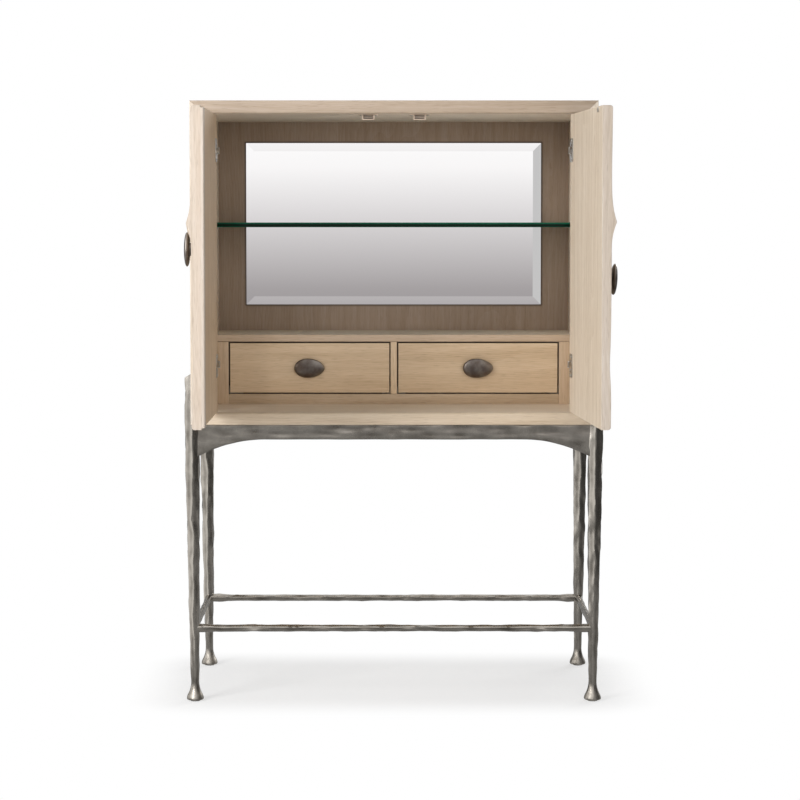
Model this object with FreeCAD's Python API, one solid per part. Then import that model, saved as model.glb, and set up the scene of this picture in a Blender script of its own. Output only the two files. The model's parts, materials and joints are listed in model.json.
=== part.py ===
import FreeCAD, Part
import math
import os

from FreeCAD import Rotation, Vector

# Bar cabinet: a mitred oak case with two carved inset doors on a forged metal stand.
# Millimetres. X to the right, Y to the back, Z up. While it is built, Y is zero at the
# front of the case and Z is zero on the floor; the end of the file centres it in Y.

# Case
case_width = 1016.0
case_depth = 508.0
case_height = 808.0
stand_height = 702.0
top_thickness = 33.0
bottom_thickness = 31.0
side_thickness = 34.0
back_thickness = 12.0
back_inset = 11.0
inner_edge_round = 6.0
outer_edge_round = 2.0

# Drawer section
drawer_setback = 250.0
deck_thickness = 18.5
deck_edge_round = 1.5
stile_width = 43.5
frame_thickness = 18.0
divider_thickness = 17.0
bottom_rail_height = 26.5
drawer_gap = 2.5
drawer_front_height = 131.0
drawer_front_thickness = 18.0
drawer_front_bevel = 1.0
drawer_box_inset = 5.0
drawer_box_lift = 4.0
drawer_box_height = 104.0
drawer_back_gap = 17.0
drawer_side_thickness = 12.0
drawer_bottom_thickness = 6.0
drawer_bottom_rise = 8.0
groove_depth = 6.0
runner_width = 24.0
runner_guide_height = 12.0
runner_guide_width = 9.0
running_gap = 0.4

# Mirror
mirror_side_margin = 75.5
mirror_upper_margin = 57.0
mirror_lower_margin = 70.0
mirror_thickness = 5.0
mirror_edge_thickness = 2.6
mirror_bevel = 22.0
mirror_backing_thickness = 4.0
mirror_backing_margin = 12.0

# Glass shelf and its pins
shelf_rise = 293.0
shelf_thickness = 12.0
shelf_setback = 98.0
shelf_back_gap = 12.0
shelf_end_gap = 2.5
shelf_edge_chamfer = 1.0
shelf_rest_gap = 0.3
pin_radius = 2.5
pin_depth = 10.0
pin_pad_reach = 14.0
pin_pad_width = 12.0
pin_pad_thickness = 2.0
pin_back_inset = 43.0
pin_front_inset = 57.0

# Doors
door_thickness = 22.0
door_side_gap = 2.5
door_end_gap = 2.0
door_meeting_gap = 3.0
door_outer_round = 6.5
carving_height = 12.0
carving_flow = 46.0
carving_margin = 34.0
left_open_angle = 90.0
right_open_angle = 94.2

# Carved face: heights are shares of the door's height, depths are shares of carving_height.
# The crest is the one sharp line; the rest is smooth.
lower_wave_shares = ((0.07, 0.03), (0.135, -0.04), (0.19, -0.22), (0.26, -0.12), (0.4, 0.0), (0.545, 0.02),
                     (0.585, 0.1), (0.612, 0.42))
crest_shares = (0.64, 1.0)
upper_wave_shares = ((0.668, 0.52), (0.7, 0.2), (0.76, 0.02), (0.87, 0.05))
wave_end_shares = (0.0, 0.14)
carving_strips = 6
lower_wave_steps = 18
upper_wave_steps = 11
second_wave_share = 0.35
second_wave_rate = 2.3

# Strip behind the meeting edge of the left door
astragal_width = 26.0
astragal_thickness = 9.0
astragal_lap = 11.0
astragal_lap_gap = 0.6
astragal_end_gap = 6.0
astragal_bevel = 2.0

# Knobs
knob_length = 79.0
knob_width = 50.0
knob_thickness = 13.5
knob_stem_length = 7.0
knob_stem_height = 31.0
knob_stem_width = 20.0
knob_stud_radius = 4.0
knob_stud_length = 12.0
knob_sides = 14
knob_lean_share = 0.16
knob_layer_shares = ((0.0, 0.6), (0.16, 0.87), (0.5, 1.0), (0.78, 0.91), (1.0, 0.52))
left_knob_rise = 412.0
right_knob_rise = 343.0
right_knob_tilt = 30.0
knob_edge_distance = 47.0

# Magnetic catches and strikes
catch_offset = 64.0
catch_width = 30.0
catch_height = 14.0
catch_depth = 19.0
catch_ear_width = 50.0
catch_ear_thickness = 2.0
catch_ear_depth = 14.0
catch_gap = 0.5
strike_radius = 6.2
strike_thickness = 1.5
strike_drop = 8.0
catch_screw_radius = 1.6
catch_screw_head_radius = 3.2
catch_screw_head_height = 1.4
catch_screw_length = 12.0

# Concealed cup hinges
upper_hinge_distance = 89.0
lower_hinge_distance = 117.0
open_reveal = 12.0
open_setoff = 2.0
cup_pin_inset = 6.0
cup_pin_depth = 7.0
link_turn = 65.0
cup_radius = 17.5
cup_sides = 14
cup_inset = 24.0
cup_depth = 12.0
cup_wall = 1.2
cup_slot_half_height = 10.0
cup_fit_gap = 0.1
flange_width = 44.0
flange_height = 58.0
flange_edge = 1.0
flange_thickness = 1.6
flange_corner = 5.0
cup_screw_spacing = 45.0
cup_screw_radius = 1.8
cup_screw_head_radius = 3.6
cup_screw_head_height = 1.2
cup_screw_length = 13.0
hinge_pin_radius = 2.0
hinge_pin_gap = 0.06
link_half_height = 6.0
link_boss_radius = 3.4
link_thickness = 4.4
arm_half_height = 8.0
arm_fork_gap = 0.2
arm_nose_radius = 4.0
arm_rail_width = 12.0
arm_bend_distance = 52.0
arm_end_distance = 100.0
plate_thickness = 3.0
plate_height = 56.0
plate_front_distance = 46.0
plate_back_distance = 92.0
plate_screw_spacing = 32.0
plate_screw_radius = 2.0
plate_screw_head_radius = 3.8
plate_screw_head_height = 1.5
plate_screw_length = 14.0

# Forged stand
leg_top_width = 36.0
leg_inset = 34.0
leg_top_offset = 1.0
leg_foot_offset = 6.0
leg_sides = 10
hammer_share = 0.045
hammer_twist_share = 0.18
hammer_rates = (2.6, 1.7, 1.1, 2.3, 1.3)
hammer_step = 3
leg_width_shares = ((1.0, 1.0), (0.88, 0.98), (0.75, 0.93), (0.62, 0.865), (0.5, 0.8), (0.38, 0.755),
                    (0.24, 0.67), (0.12, 0.6), (0.075, 0.57))
foot_width = 43.0
foot_height = 42.0
foot_width_shares = ((1.0, 0.475), (0.7, 0.575), (0.46, 0.72), (0.28, 0.895), (0.08, 1.0), (0.0, 0.93))
tongue_height = 126.0
tongue_tip_width_share = 0.9
tongue_tip_slope = 10.0
apron_height = 39.5
apron_thickness = 24.0
arch_run = 185.0
arch_drop = 52.0
apron_chamfer = 2.0
stretcher_height = 184.0
stretcher_width = 15.5
stretcher_sides = 8
stretcher_shares = ((0.0, 1.3), (0.035, 1.3), (0.055, 1.06), (0.35, 1.02), (0.65, 0.98), (0.945, 1.06),
                    (0.965, 1.3), (1.0, 1.3))
tab_length = 40.0
tab_width = 30.0
tab_thickness = 4.0
tab_spacing = 330.0
base_screw_radius = 2.5
base_screw_head_radius = 5.0
base_screw_head_height = 3.0
base_screw_length = 22.0
glide_radius = 13.0
glide_height = 3.0

# Shared by the small round pieces, and how far cuts run past what they cut
round_sides = 10
screw_sides = 6
overrun = 5.0

# Places worked out from the sizes above
half_width = case_width / 2
inner_half = half_width - side_thickness
case_bottom = stand_height
case_top = stand_height + case_height
floor_top = case_bottom + bottom_thickness
ceiling = case_top - top_thickness
back_front = case_depth - back_inset - back_thickness
opening_height = ceiling - floor_top

door_width = (2 * inner_half - 2 * door_side_gap - door_meeting_gap) / 2
door_height = opening_height - 2 * door_end_gap
door_bottom = floor_top + door_end_gap
door_top = door_bottom + door_height
hinge_edge = -inner_half + door_side_gap
meeting_edge = -door_meeting_gap / 2

rail_top = floor_top + bottom_rail_height
drawer_front_bottom = rail_top + drawer_gap
deck_bottom = drawer_front_bottom + drawer_front_height + drawer_gap
deck_top = deck_bottom + deck_thickness
drawer_inner_edge = divider_thickness / 2 + drawer_gap
drawer_outer_edge = inner_half - stile_width - drawer_gap
drawer_centre = (drawer_inner_edge + drawer_outer_edge) / 2
frame_back = drawer_setback + frame_thickness
drawer_box_bottom = drawer_front_bottom + drawer_box_lift
drawer_box_front = drawer_setback + drawer_front_thickness
drawer_box_back = back_front - drawer_back_gap

shelf_top = deck_top + shelf_rise
shelf_bottom = shelf_top - shelf_thickness
shelf_back = back_front - shelf_back_gap
pad_top = shelf_bottom - shelf_rest_gap

mirror_back = back_front - mirror_backing_thickness
mirror_half = inner_half - mirror_side_margin
mirror_bottom = deck_top + mirror_lower_margin
mirror_top = ceiling - mirror_upper_margin

leg_front = leg_inset
leg_back = case_depth - leg_inset
hinge_heights = (door_bottom + lower_hinge_distance, door_top - upper_hinge_distance)


def box(x0, x1, y0, y1, z0, z1):
    return Part.makeBox(x1 - x0, y1 - y0, z1 - z0, Vector(x0, y0, z0))


def rod(radius, start, end):
    along = end - start
    return Part.makeCylinder(radius, along.Length, start, along)


def prism(points, travel):
    """A closed outline of corner points, pushed along travel."""
    return Part.Face(Part.makePolygon(points + points[:1])).extrude(travel)


def peg(radius, start, end, sides):
    """A many-sided rod, for fasteners and the holes that hold them."""
    along = end - start
    turn = Rotation(Vector(0, 0, 1), along)
    corners = []
    for step in range(sides):
        angle = 2 * math.pi * step / sides
        corners.append(start + turn.multVec(Vector(radius * math.cos(angle), radius * math.sin(angle), 0)))
    return prism(corners, along)


def faceted_solid(rings):
    """A solid through rings of corner points, with a flat end on the first and the last."""
    faces = [Part.Face(Part.makePolygon(ring + ring[:1])) for ring in (rings[0], rings[-1])]
    sides = len(rings[0])
    for low, high in zip(rings, rings[1:]):
        for step in range(sides):
            after = (step + 1) % sides
            faces.append(Part.Face(Part.makePolygon([low[step], low[after], high[after], low[step]])))
            faces.append(Part.Face(Part.makePolygon([low[step], high[after], high[step], low[step]])))
    return Part.makeSolid(Part.makeShell(faces))


def group(solids):
    return Part.makeCompound(solids)


def mirrored(shape):
    return shape.mirror(Vector(0, 0, 0), Vector(1, 0, 0))


def edges_where(shape, test):
    return [edge for edge in shape.Edges if test(edge.CenterOfMass, edge.BoundBox)]


def short_edges(plate, thickness):
    """The edges through a plate's thickness, at its corners."""
    return [edge for edge in plate.Edges if near(edge.Length, thickness)]


def near(a, b):
    return abs(a - b) < running_gap / 10


# Case

def case_boards():
    """Top, bottom and sides, mitred at the corners, with rounded front edges."""
    outer = {"lb": (-half_width, case_bottom), "rb": (half_width, case_bottom),
             "rt": (half_width, case_top), "lt": (-half_width, case_top)}
    inner = {"lb": (-inner_half, floor_top), "rb": (inner_half, floor_top),
             "rt": (inner_half, ceiling), "lt": (-inner_half, ceiling)}
    boards = {}
    for name, first, second in (("bottom_panel", "lb", "rb"), ("right_side_panel", "rb", "rt"),
                                ("top_panel", "rt", "lt"), ("left_side_panel", "lt", "lb")):
        corners = (outer[first], outer[second], inner[second], inner[first])
        board = prism([Vector(x, 0, z) for x, z in corners], Vector(0, case_depth, 0))
        board = rounded_between(board, inner[first], inner[second], inner_edge_round)
        boards[name] = rounded_between(board, outer[first], outer[second], outer_edge_round)
    return boards


def rounded_between(board, start, end, radius):
    """Rounds a board's front edge, which runs between two corners given as X and Z."""
    middle_x = (start[0] + end[0]) / 2
    middle_z = (start[1] + end[1]) / 2
    edges = edges_where(board, lambda c, b: near(b.YMax, 0) and near(c.x, middle_x) and near(c.z, middle_z))
    return board.makeFillet(radius, edges)


def back_panel():
    return box(-inner_half, inner_half, back_front, back_front + back_thickness, floor_top, ceiling)


# Drawer section

def drawer_deck():
    deck = box(-inner_half, inner_half, drawer_setback, back_front, deck_bottom, deck_top)
    front_edges = edges_where(deck, lambda c, b: near(b.YMax, drawer_setback) and near(c.x, 0))
    return deck.makeFillet(deck_edge_round, front_edges)


def drawer_bottom_rail():
    end = inner_half - stile_width
    return box(-end, end, drawer_setback, frame_back, floor_top, rail_top)


def left_drawer_stile():
    return box(-inner_half, stile_width - inner_half, drawer_setback, frame_back, floor_top, deck_bottom)


def drawer_divider():
    half = divider_thickness / 2
    board = box(-half, half, drawer_setback, back_front, floor_top, deck_bottom)
    return board.cut(drawer_bottom_rail())


def drawer_runner(side_x, outward):
    """A hardwood rail under one drawer side, with a guide along its outer face."""
    top = drawer_box_bottom - running_gap
    guide_face = side_x + outward * (drawer_side_thickness / 2 + running_gap)
    guide_outer = guide_face + outward * runner_guide_width
    rail_inner = guide_outer - outward * runner_width
    rail = box(min(rail_inner, guide_outer), max(rail_inner, guide_outer), frame_back, back_front,
               floor_top, top)
    guide = box(min(guide_face, guide_outer), max(guide_face, guide_outer), frame_back, back_front,
                top, top + runner_guide_height)
    return rail.fuse(guide).removeSplitter()


def drawer_side_places():
    """X of the middle of each side board of the right drawer, with the way that faces outward."""
    inset = drawer_box_inset + drawer_side_thickness / 2
    return ((drawer_inner_edge + inset, -1), (drawer_outer_edge - inset, 1))


def drawer_runners():
    divider = drawer_divider()
    right = [drawer_runner(x, way).cut(divider) for x, way in drawer_side_places()]
    return group(right + [mirrored(runner) for runner in right])


def pebble(length, width, thickness):
    """A flat, softly faceted river-stone shape: its outline leans to one end. It grows along +Z from zero."""
    rings = []
    for height_share, size_share in knob_layer_shares:
        points = []
        for step in range(knob_sides):
            turn = 2 * math.pi * step / knob_sides
            lean = 1 + knob_lean_share * math.cos(turn)
            x = size_share * length / 2 * math.cos(turn)
            y = size_share * width / 2 * math.sin(turn) * lean
            points.append(Vector(x, y, height_share * thickness))
        rings.append(points)
    return faceted_solid(rings)


def knob():
    """Knob, oval stem and stud along -Y, the long way along X, seated on the plane Y = 0."""
    stone = pebble(knob_length, knob_width, knob_thickness)
    stone.translate(Vector(0, 0, knob_stem_length))
    oval = []
    for step in range(knob_sides):
        turn = 2 * math.pi * step / knob_sides
        oval.append(Vector(knob_stem_height / 2 * math.cos(turn), knob_stem_width / 2 * math.sin(turn), 0))
    stem = prism(oval, Vector(0, 0, knob_stem_length + knob_thickness / 2))
    stud = peg(knob_stud_radius, Vector(0, 0, -knob_stud_length), Vector(0, 0, 0), screw_sides)
    solid = stone.fuse([stem, stud])
    solid.rotate(Vector(0, 0, 0), Vector(1, 0, 0), 90)
    return solid


def drawer_pieces():
    """The right drawer's pieces, by name."""
    x0 = drawer_inner_edge
    x1 = drawer_outer_edge
    left_face = x0 + drawer_box_inset
    right_face = x1 - drawer_box_inset
    front = box(x0, x1, drawer_setback, drawer_box_front,
                drawer_front_bottom, drawer_front_bottom + drawer_front_height)
    rim = edges_where(front, lambda c, b: near(b.YMax, drawer_setback))
    front = front.makeChamfer(drawer_front_bevel, rim)
    box_top = drawer_box_bottom + drawer_box_height
    sides = []
    for x, _ in drawer_side_places():
        half = drawer_side_thickness / 2
        sides.append(box(x - half, x + half, drawer_box_front, drawer_box_back, drawer_box_bottom, box_top))
    inner_left = left_face + drawer_side_thickness
    inner_right = right_face - drawer_side_thickness
    bottom_under = drawer_box_bottom + drawer_bottom_rise
    bottom_over = bottom_under + drawer_bottom_thickness
    bottom = box(inner_left - groove_depth, inner_right + groove_depth,
                 drawer_box_front - groove_depth, drawer_box_back, bottom_under, bottom_over)
    back = box(inner_left, inner_right, drawer_box_back - drawer_side_thickness, drawer_box_back,
               bottom_over, box_top)
    handle = knob()
    handle.translate(Vector(drawer_centre, drawer_setback, drawer_front_bottom + drawer_front_height / 2))
    front = front.cut(bottom).cut(handle)
    sides = [side.cut(bottom) for side in sides]
    return {"front": front, "sides": group(sides), "back": back, "bottom": bottom, "knob": handle}


# Mirror and shelf

def mirror():
    """Plate glass with a wide bevel round its face."""
    edge_front = mirror_back - mirror_edge_thickness
    face = mirror_back - mirror_thickness
    plate = box(-mirror_half, mirror_half, edge_front, mirror_back, mirror_bottom, mirror_top)
    rings = []
    for y, x, low, high in ((edge_front, mirror_half, mirror_bottom, mirror_top),
                            (face, mirror_half - mirror_bevel, mirror_bottom + mirror_bevel,
                             mirror_top - mirror_bevel)):
        corners = [Vector(-x, y, low), Vector(x, y, low), Vector(x, y, high), Vector(-x, y, high)]
        rings.append(Part.makePolygon(corners + corners[:1]))
    return plate.fuse(Part.makeLoft(rings, True, True))


def mirror_backing():
    half = mirror_half - mirror_backing_margin
    return box(-half, half, mirror_back, back_front, mirror_bottom + mirror_backing_margin,
               mirror_top - mirror_backing_margin)


def glass_shelf():
    half = inner_half - shelf_end_gap
    plate = box(-half, half, shelf_setback, shelf_back, shelf_bottom, shelf_top)
    long_edges = edges_where(plate, lambda c, b: near(c.x, 0))
    return plate.makeChamfer(shelf_edge_chamfer, long_edges)


def pin_places():
    return (shelf_back - pin_back_inset, shelf_setback + pin_front_inset)


def left_shank(y):
    """The round part of a pin, which is also the hole that it goes in."""
    height = pad_top - pin_radius
    end = Vector(-inner_half, y, height)
    return peg(pin_radius, end - Vector(pin_depth, 0, 0), end, round_sides)


def left_shelf_pin(y):
    """A pin in the side panel with a flat pad under the glass."""
    half = pin_pad_width / 2
    pad = box(-inner_half, pin_pad_reach - inner_half, y - half, y + half,
              pad_top - pin_pad_thickness, pad_top)
    web = box(-inner_half, pin_pad_thickness - inner_half, y - half, y + half,
              pad_top - 3 * pin_radius, pad_top)
    return left_shank(y).fuse([pad, web])


def shelf_pins():
    left = [left_shelf_pin(y) for y in pin_places()]
    return group(left + [mirrored(pin) for pin in left])


# Doors

def wave_lift(across):
    """How far the carved lines rise at a place across both doors; zero where the doors meet."""
    turn = 2 * math.pi * (across - 0.5)
    return carving_flow * (math.sin(turn) + second_wave_share * math.sin(second_wave_rate * turn))


def carved_section(x, depth_share):
    """The door's outline at X as corner points: carved front, rounded ends, flat back."""
    across = (x + inner_half) / (2 * inner_half)
    lift = wave_lift(across)

    def place(share):
        height_share, relief_share = share
        swing = 4 * height_share * (1 - height_share)
        z = door_bottom + height_share * door_height + lift * swing
        return Vector(x, -depth_share * relief_share * carving_height, z)

    bottom_relief, top_relief = [share * depth_share * carving_height for share in wave_end_shares]
    bottom = Vector(x, -bottom_relief, door_bottom + door_outer_round)
    top = Vector(x, -top_relief, door_top - door_outer_round)
    crest = place(crest_shares)
    lower = Part.BSplineCurve()
    lower.interpolate([bottom] + [place(share) for share in lower_wave_shares] + [crest])
    upper = Part.BSplineCurve()
    upper.interpolate([crest] + [place(share) for share in upper_wave_shares] + [top])
    bend = door_outer_round * (1 - math.sqrt(0.5))
    low_corner = [Vector(x, door_outer_round - bottom_relief, door_bottom),
                  Vector(x, bend - bottom_relief, door_bottom + bend)]
    high_corner = [Vector(x, bend - top_relief, door_top - bend),
                   Vector(x, door_outer_round - top_relief, door_top)]
    back = [Vector(x, door_thickness, door_top), Vector(x, door_thickness, door_bottom)]
    front = lower.discretize(lower_wave_steps) + upper.discretize(upper_wave_steps)[1:]
    return low_corner + front + high_corner + back


def carved_leaf(way):
    """A door leaf from its hinge edge (relief dies out there) to its meeting edge."""
    start = way * hinge_edge
    end = way * meeting_edge
    margin = way * carving_margin
    sections = [carved_section(start, 0)]
    for number in range(carving_strips + 1):
        share = number / carving_strips
        sections.append(carved_section(start + margin + (end - start - margin) * share, 1))
    return faceted_solid(sections)


def door_knob(side, rise, tilt):
    handle = knob()
    handle.rotate(Vector(0, 0, 0), Vector(0, 1, 0), side * tilt - side * 90)
    handle.translate(Vector(side * (knob_edge_distance - meeting_edge), 0, door_bottom + rise))
    return handle


def astragal():
    """Flat strip on the left leaf that laps behind the right one."""
    outer = meeting_edge + astragal_lap + door_meeting_gap
    inner = outer - astragal_width
    step = meeting_edge
    low = door_bottom + astragal_end_gap
    back = door_thickness + astragal_thickness
    lap_face = door_thickness + astragal_lap_gap
    outline = [(inner, door_thickness), (step, door_thickness), (step, lap_face), (outer, lap_face),
               (outer, back), (inner, back)]
    strip = prism([Vector(x, y, low) for x, y in outline], Vector(0, 0, door_height - 2 * astragal_end_gap))
    rims = edges_where(strip, lambda c, b: near(c.y, back) and b.ZLength > door_height / 2)
    return strip.makeChamfer(astragal_bevel, rims)


def left_strike():
    centre = Vector(-catch_offset, door_thickness, door_top - strike_drop)
    return peg(strike_radius, centre, centre + Vector(0, strike_thickness, 0), round_sides)


def catch_front():
    return door_thickness + strike_thickness + catch_gap


def left_catch():
    """Magnet case with two ears under the top board."""
    front = catch_front()
    half = catch_width / 2
    case = box(-half, half, front, front + catch_depth, ceiling - catch_height, ceiling)
    ear_half = catch_ear_width / 2
    plate = box(-ear_half, ear_half, front + catch_depth - catch_ear_depth, front + catch_depth,
                ceiling - catch_ear_thickness, ceiling)
    catch = case.fuse(plate)
    catch.translate(Vector(-catch_offset, 0, 0))
    depth = Vector(0, 0, catch_screw_length)
    for centre in catch_screw_places():
        catch = catch.cut(peg(catch_screw_radius, centre, centre + depth, screw_sides))
    return catch


def catch_screw_places():
    """Centres of the two ear screws of the left catch, on the ear's underside."""
    reach = (catch_width + catch_ear_width) / 4
    y = catch_front() + catch_depth - catch_ear_depth / 2
    return [Vector(way * reach - catch_offset, y, ceiling - catch_ear_thickness) for way in (-1, 1)]


def left_catch_screws():
    up = Vector(0, 0, 1)
    return [screw(centre, up, catch_screw_radius, catch_screw_length, catch_screw_head_radius,
                  catch_screw_head_height) for centre in catch_screw_places()]


def screw(seat, inward, radius, length, head_radius, head_height):
    """A screw whose head stands on its seat; the hole that it goes in fits it."""
    shank = peg(radius, seat, seat + inward * length, screw_sides)
    return shank.fuse(peg(head_radius, seat - inward * head_height, seat, screw_sides))


# Hinges. Each has one link between a pin in the arm and a pin in the cup.

def turned(point, degrees, pivot=Vector(0, 0, 0)):
    return Rotation(Vector(0, 0, 1), degrees).multVec(point - pivot) + pivot


def cup_pin_closed():
    return Vector(hinge_edge + cup_pin_inset, door_thickness - cup_pin_depth, 0)


def arm_pin():
    """The arm's pin, from where the cup's pin lies with the door shut and with it square open.
    Both lie on one circle round the arm's pin, and the link turns by link_turn between them."""
    shut = cup_pin_closed()
    opened = Vector(open_reveal + door_thickness - cup_pin_depth - inner_half, -open_setoff - cup_pin_inset, 0)
    middle = (shut + opened) / 2
    chord = opened - shut
    outward = Vector(-chord.y, chord.x, 0)
    outward.normalize()
    return middle + outward * (chord.Length / 2 / math.tan(math.radians(link_turn / 2)))


def link_angle(door_angle):
    """The link's turn from shut while the door turns by door_angle."""
    return link_turn * door_angle / 90


def cup_pin_at(door_angle):
    return turned(cup_pin_closed(), link_angle(door_angle), arm_pin())


def open_door(shape, door_angle):
    """Moves a shape of the shut left door to where it is with the door open by door_angle."""
    moved = shape.copy()
    moved.rotate(cup_pin_closed(), Vector(0, 0, 1), -door_angle)
    moved.translate(cup_pin_at(door_angle) - cup_pin_closed())
    return moved


def open_link(shape, door_angle):
    moved = shape.copy()
    moved.rotate(arm_pin(), Vector(0, 0, 1), link_angle(door_angle))
    return moved


def cup_hollow(gap, depth, height):
    """The space of a cup: a round recess and a slot from it through the hinge edge."""
    radius = cup_radius + gap
    half = cup_slot_half_height + gap
    floor_y = door_thickness - depth
    centre = Vector(hinge_edge + cup_inset, floor_y, height)
    mouth = door_thickness + overrun
    round_part = peg(radius, centre, Vector(centre.x, mouth, height), cup_sides)
    slot = box(hinge_edge - overrun, centre.x, floor_y, mouth, height - half, height + half)
    return round_part.fuse(slot)


def hinge_cup(height):
    """Pressed cup with its flange; the slot's cheeks carry the link's pin."""
    body = cup_hollow(-cup_fit_gap, cup_depth - cup_fit_gap, height)
    behind = box(hinge_edge, inner_half, 0, door_thickness, floor_top, ceiling)
    body = body.common(behind)
    x0 = hinge_edge + flange_edge
    half = flange_height / 2
    plate = box(x0, x0 + flange_width, door_thickness, door_thickness + flange_thickness,
                height - half, height + half)
    plate = plate.makeChamfer(flange_corner, short_edges(plate, flange_thickness))
    hollow = cup_hollow(-cup_wall - cup_fit_gap, cup_depth - cup_fit_gap - cup_wall, height)
    cup = body.fuse(plate).cut(hollow)
    pin = cup_pin_closed()
    reach = Vector(0, 0, cup_slot_half_height + overrun)
    centre = Vector(pin.x, pin.y, height)
    cup = cup.cut(rod(hinge_pin_radius + hinge_pin_gap, centre - reach, centre + reach))
    return cup.cut(group(cup_screws(height)))


def cup_screws(height):
    """The flange's two screws."""
    x = hinge_edge + cup_inset + cup_radius / 2
    seat = door_thickness + flange_thickness
    inward = Vector(0, -1, 0)
    return [screw(Vector(x, seat, height + way * cup_screw_spacing / 2), inward, cup_screw_radius,
                  cup_screw_length, cup_screw_head_radius, cup_screw_head_height) for way in (-1, 1)]


def hinge_link(height):
    """Bar between the arm's pin and the cup's pin, drawn with the door shut, with its two pins."""
    start = arm_pin()
    end = cup_pin_closed()
    along = end - start
    across = Vector(-along.y, along.x, 0)
    across.normalize()
    side = across * (link_thickness / 2)
    low = Vector(0, 0, height - link_half_height)
    tall = Vector(0, 0, 2 * link_half_height)
    bar = prism([start + side + low, end + side + low, end - side + low, start - side + low], tall)
    bosses = [peg(link_boss_radius, point + low, point + low + tall, round_sides) for point in (start, end)]
    arm_reach = Vector(0, 0, arm_half_height)
    cup_reach = Vector(0, 0, cup_slot_half_height - cup_fit_gap)
    level = Vector(0, 0, height)
    pins = [peg(hinge_pin_radius, start + level - arm_reach, start + level + arm_reach, round_sides),
            peg(hinge_pin_radius, end + level - cup_reach, end + level + cup_reach, round_sides)]
    return bar.fuse(bosses + pins)


def hinge_arm(height):
    """Cranked arm from the plate on the side panel to a forked nose at the link's pin."""
    pin = arm_pin()
    seat = -inner_half + plate_thickness
    outer = seat + arm_rail_width
    low = Vector(0, 0, height - arm_half_height)
    points = [Vector(pin.x - arm_nose_radius, pin.y, 0), Vector(pin.x + arm_nose_radius, pin.y, 0),
              Vector(outer, arm_bend_distance + arm_rail_width, 0), Vector(outer, arm_end_distance, 0),
              Vector(seat, arm_end_distance, 0), Vector(seat, arm_bend_distance, 0)]
    tall = Vector(0, 0, 2 * arm_half_height)
    arm = prism([point + low for point in points], tall)
    arm = arm.fuse(peg(arm_nose_radius, pin + low, pin + low + tall, round_sides))
    fork_half = link_half_height + arm_fork_gap
    fork_end = pin.y + 2 * arm_nose_radius
    fork = box(-inner_half, 0, -overrun, fork_end, height - fork_half, height + fork_half)
    arm = arm.cut(fork)
    reach = Vector(0, 0, arm_half_height + overrun)
    level = Vector(pin.x, pin.y, height)
    return arm.cut(rod(hinge_pin_radius + hinge_pin_gap, level - reach, level + reach))


def hinge_plate(height):
    half = plate_height / 2
    plate = box(-inner_half, plate_thickness - inner_half, plate_front_distance, plate_back_distance,
                height - half, height + half)
    plate = plate.makeChamfer(flange_corner, short_edges(plate, plate_thickness))
    return plate.cut(group(plate_screws(height)))


def plate_screws(height):
    """The plate's two screws."""
    seat = -inner_half + plate_thickness
    y = (plate_front_distance + plate_back_distance) / 2
    inward = Vector(-1, 0, 0)
    return [screw(Vector(seat, y, height + way * plate_screw_spacing / 2), inward, plate_screw_radius,
                  plate_screw_length, plate_screw_head_radius, plate_screw_head_height) for way in (-1, 1)]


# Forged stand

def hammered_ring(centre, u, v, radius, sides, level):
    """An uneven ring of corners in the plane of u and v, as a hammer leaves a bar."""
    a, b, c, d, e = hammer_rates
    points = []
    for step in range(sides):
        reach = radius * (1 + hammer_share * math.sin(a * step + b * level) * math.cos(c * step - d * level))
        turn = 2 * math.pi * (step + hammer_twist_share * math.sin(e * level + step)) / sides
        points.append(centre + u * (reach * math.cos(turn)) + v * (reach * math.sin(turn)))
    return points


def hammered_bar(stations, u, v, sides, first_level):
    rings = []
    for number, (centre, width) in enumerate(stations):
        rings.append(hammered_ring(centre, u, v, width / 2, sides, first_level + number))
    return faceted_solid(rings)


def leg_axis(height):
    """Distance of the leg's middle from the cabinet's middle at a height."""
    share = height / stand_height
    return half_width - leg_foot_offset + (leg_foot_offset - leg_top_offset) * share


def leg(side, y, first_level):
    """A forged leg: trumpet foot, faceted taper and a tongue up the outside of the case."""
    tip = stand_height + tongue_height
    stations = [(tip, leg_top_width * tongue_tip_width_share)]
    for share, width_share in leg_width_shares:
        stations.append((share * stand_height, width_share * leg_top_width))
    for share, width_share in foot_width_shares:
        stations.append((glide_height + share * foot_height, width_share * foot_width))
    places = [(Vector(side * leg_axis(height), y, height), width) for height, width in stations]
    bar = hammered_bar(places, Vector(side, 0, 0), Vector(0, 1, 0), leg_sides, first_level)
    case = box(-half_width, half_width, 0, case_depth, case_bottom, case_top)
    outer = leg_top_width + overrun
    slope = tongue_tip_slope * outer / (leg_top_width / 2)
    inner_x = side * half_width
    outer_x = side * (half_width + outer)
    slant = [(inner_x, tip), (outer_x, tip - slope), (outer_x, tip + overrun), (inner_x, tip + overrun)]
    above = prism([Vector(x, y - outer, z) for x, z in slant], Vector(0, 2 * outer, 0))
    return bar.cut(case).cut(above)


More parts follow.
